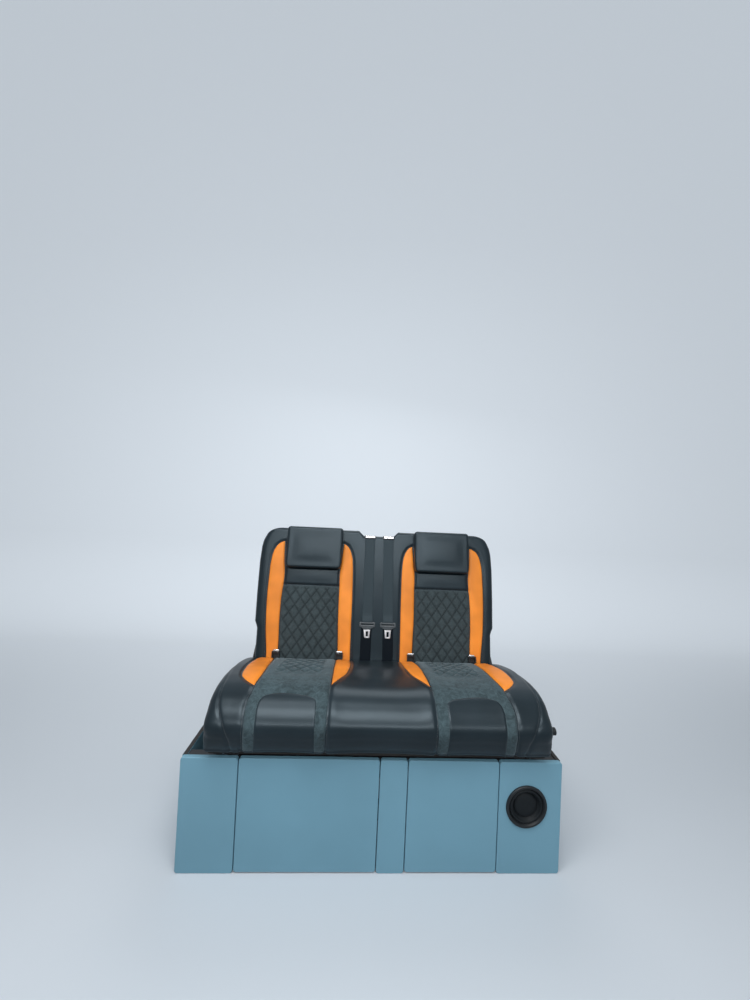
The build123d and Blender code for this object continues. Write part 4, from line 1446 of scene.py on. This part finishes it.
def widen(piece, factor, test):
    """Scales the width between the edges for which test(start, end) is true."""
    choose_edges(piece, test)
    bpy.ops.transform.resize(value=(factor, 1, 1))
    leave_edit()


def open_slot(piece, margin, stretch=(1, 1, 1), shift=0.0):
    """Insets front and back, shapes the inner faces and joins them into a hole."""
    picked = [abs(f.normal.y) > 0.9 for f in piece.data.polygons]
    edit(piece)
    leave_edit()
    for f, chosen in zip(piece.data.polygons, picked):
        f.select = chosen
    bpy.ops.object.mode_set(mode="EDIT")
    bpy.ops.mesh.inset(thickness=margin, use_individual=True)
    bpy.ops.transform.resize(value=stretch)
    bpy.ops.transform.translate(value=(0, 0, shift))
    bpy.ops.mesh.bridge_edge_loops()
    leave_edit()


def soften(piece, width, segments=2):
    """Rounds the sharp edges and shades the rest smooth."""
    sharp = math.radians(40)
    applied(piece, "BEVEL", width=width, segments=segments, limit_method="ANGLE", angle_limit=sharp)
    return smooth(piece, angle=35)


# %% [markdown]
# Small parts that come in pairs are made once, about the origin, and copied. A linked copy would be
# lighter, but each part has a place and a body of its own in the file, so its points are moved to the
# backrest's plane.

# %% Copies on the backrest


def copy_on_back(pattern, name, x, forward, up, depth_way=-back_out, height_way=back_up):
    """A copy of a pattern made about the origin, turned and moved to the backrest's plane."""
    take(pattern)
    bpy.ops.object.duplicate()
    twin = bpy.context.active_object
    twin.name = name
    facing = points_of(twin) @ np.stack([x_way, depth_way, height_way])
    move_points(twin, facing + on_back(x, forward, up))
    return twin


def laid_out(parts, places, body):
    """Lays copies of some parts at each place on the backrest, and removes their patterns. A part has a name,
    a pattern, how far forward and up it lies, a slot and a finish."""
    made = []
    for side, x in places.items():
        for name, pattern, forward, up, slot, finish in parts:
            piece = dress(copy_on_back(pattern, f"{name}_{side}", x, back_front + forward, up), slot, finish)
            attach(piece, body)
            made.append(piece)
    for part in parts:
        bpy.data.objects.remove(part[1])
    print("made", [piece.name for piece in made])
    return made


print("small parts face along", (-back_out).round(3))

# %% [markdown]
# The tongue's moulding has a wide bar, whose slot the belt goes through, and a neck that tapers to the
# blade. Its moulding is a little paler than the other plastic, and its blade duller, so both have a finish
# of their own.

# %% Belt tongues
moulded = Finish("tongue_moulding", (0.055, 0.068, 0.078), 0.35, specular=0.6)
moulded.tint(moulded.noise(60, 3), (0.046, 0.058, 0.066), (0.066, 0.080, 0.090))
moulded.bump((moulded.cells(1600), 0.0002, 0.3))
bright_blade = polished_steel("blade_steel", 0.38)
bar = slab("tongue_bar", 0.072, 0.022, 0.0046)
round_corners(bar, 0.006, low=True)
round_corners(bar, 0.005, low=False)
open_slot(bar, 0.0065, stretch=(1.0, 1, 0.66), shift=0.0012)
soften(bar, 0.0011)
neck = slab("tongue_neck", 0.058, 0.012, 0.0040)
widen(neck, 0.46, lambda a, b: max(a.z, b.z) < 0)
soften(neck, 0.0009)
blade = slab("tongue_blade", 0.0235, 0.042, 0.0024)
round_corners(blade, 0.0045, low=True)
open_slot(blade, 0.0064, stretch=(0.95, 1, 0.78), shift=-0.0035)
widen(blade, 1.3, lambda a, b: min(a.z, b.z) > 0.020)
soften(blade, 0.0007)
tongues = laid_out([
    ("tongue_bar", bar, 0.0055, 0.1530, "black_plastic", moulded.material),
    ("tongue_neck", neck, 0.0052, 0.1370, "black_plastic", moulded.material),
    ("tongue_blade", blade, 0.0050, 0.1160, "bright_steel", bright_blade),
], belt_x, "backrest")
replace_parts(tongues[2], "belt_tongues")

# %% [markdown]
# At the top of the dip each belt passes behind a bright bar, held in a black bezel. The bar is a slab with
# every edge rounded.

# %% Belt guides
guide_up = 0.5600
bezel = slab("guide_bezel", 0.056, 0.0170, 0.0150)
round_corners(bezel, 0.004)
soften(bezel, 0.0007)
guide_bar = slab("guide_bar", 0.049, 0.0115, 0.0050)
soften(guide_bar, 0.0022, segments=4)
guides = laid_out([
    ("belt_bezel", bezel, -0.0040, guide_up - 0.001, "black_plastic", None),
    ("belt_bar", guide_bar, 0.0045, guide_up, "bright_steel", None),
], {side: x + belt_drift[side] for side, x in belt_x.items()}, "backrest")
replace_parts(guides[1], "belt_guides")

# %% [markdown]
# The child-seat guides peep out of the crease as black mouldings with a bright steel strip on top. CAD has
# the mouldings, and the strips are added here, flat on their tops.

# %% Bright strips on the anchor guides
strip_t = 0.0016
strip = slab("guide_strip", 0.027, strip_t, 0.010)
round_corners(strip, 0.0025)
soften(strip, 0.0005)
strip_forward = back_front + 0.0105
guide_top = float(max((point - hinge) @ back_up for point in points_of(nodes["anchor_guides"]))) - crease_up
for i, x in enumerate(guide_x):
    name, up = f"anchor_strip_{i + 1}", guide_top + strip_t / 2
    piece = copy_on_back(strip, name, x, strip_forward, up, depth_way=back_up, height_way=back_out)
    dress(face_outward(piece), "bright_steel")
    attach(piece, "seat")
bpy.data.objects.remove(strip)
print("guide tops", round(guide_top, 4), "above the crease")

# %% [markdown]
# The speaker in the right panel has a raised ring, a rubber roll, a paper cone and a wide dust cap. A
# turned shape like this is easy to build from one circle: its edge is extruded again and again, each time
# with a new radius and a new depth. A profile that ends where it starts is a closed ring, and any other is
# closed by faces at its ends.

# %% Speaker


def turned(name, profile, centre, sides=64):
    """A turned shape about an axis along Y, from (radius, y) steps."""
    deselect()
    radius, depth = profile[0]
    bpy.ops.mesh.primitive_circle_add(vertices=sides, radius=radius, rotation=(math.pi / 2, 0, 0))
    piece = bpy.context.active_object
    piece.name = name
    settle(piece)
    edit(piece, "EDGE", action="SELECT")
    bpy.ops.transform.translate(value=(0, depth, 0))
    for next_radius, next_depth in profile[1:]:
        scale = next_radius / radius
        bpy.ops.mesh.extrude_region_move(TRANSFORM_OT_translate={"value": (0, next_depth - depth, 0)})
        bpy.ops.transform.resize(value=(scale, 1, scale), center_override=(0, next_depth, 0))
        radius, depth = next_radius, next_depth
    leave_edit()
    if math.dist(profile[0], profile[-1]) < 1e-9:
        merge(piece, 0.00005)
    else:
        fill_openings(piece)
    face_outward(piece)
    move_points(piece, points_of(piece) + centre)
    print(name, len(piece.data.polygons), "faces")
    return smooth(piece, angle=32)


ring_low, ring_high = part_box("speaker_basket")
base_front = -0.330
speaker_centre = ((ring_low.x + ring_high.x) / 2, base_front, (ring_low.z + ring_high.z) / 2)
ring_profile = [
    (0.0690, 0.0), (0.0690, -0.0030), (0.0684, -0.0048), (0.0668, -0.0062), (0.0646, -0.0069),
    (0.0624, -0.0068), (0.0606, -0.0060), (0.0596, -0.0044), (0.0588, -0.0020), (0.0570, 0.0004),
    (0.0566, 0.0300), (0.0592, 0.0300), (0.0597, 0.0002), (0.0612, 0.0), (0.0690, 0.0),
]
cone_profile = [
    (0.0560, 0.0390), (0.0560, -0.0004), (0.0552, -0.0016), (0.0536, -0.0030), (0.0512, -0.0038),
    (0.0488, -0.0032), (0.0472, -0.0016), (0.0464, 0.0006), (0.0456, 0.0020), (0.0430, 0.0050),
    (0.0405, 0.0082), (0.0398, 0.0086), (0.0392, 0.0070), (0.0378, 0.0050), (0.0350, 0.0032),
    (0.0300, 0.0014), (0.0230, -0.0002), (0.0150, -0.0012), (0.0070, -0.0016), (0.0010, -0.0017),
]
speaker_ring = dress(turned("speaker_ring", ring_profile, speaker_centre), "black_plastic")
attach(speaker_ring, "base")
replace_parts(speaker_ring, "speaker_basket")
speaker_cone = dress(turned("speaker_cone_and_cap", cone_profile, speaker_centre), "speaker_paper")
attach(speaker_cone, "base")
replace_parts(speaker_cone, "speaker_cone")
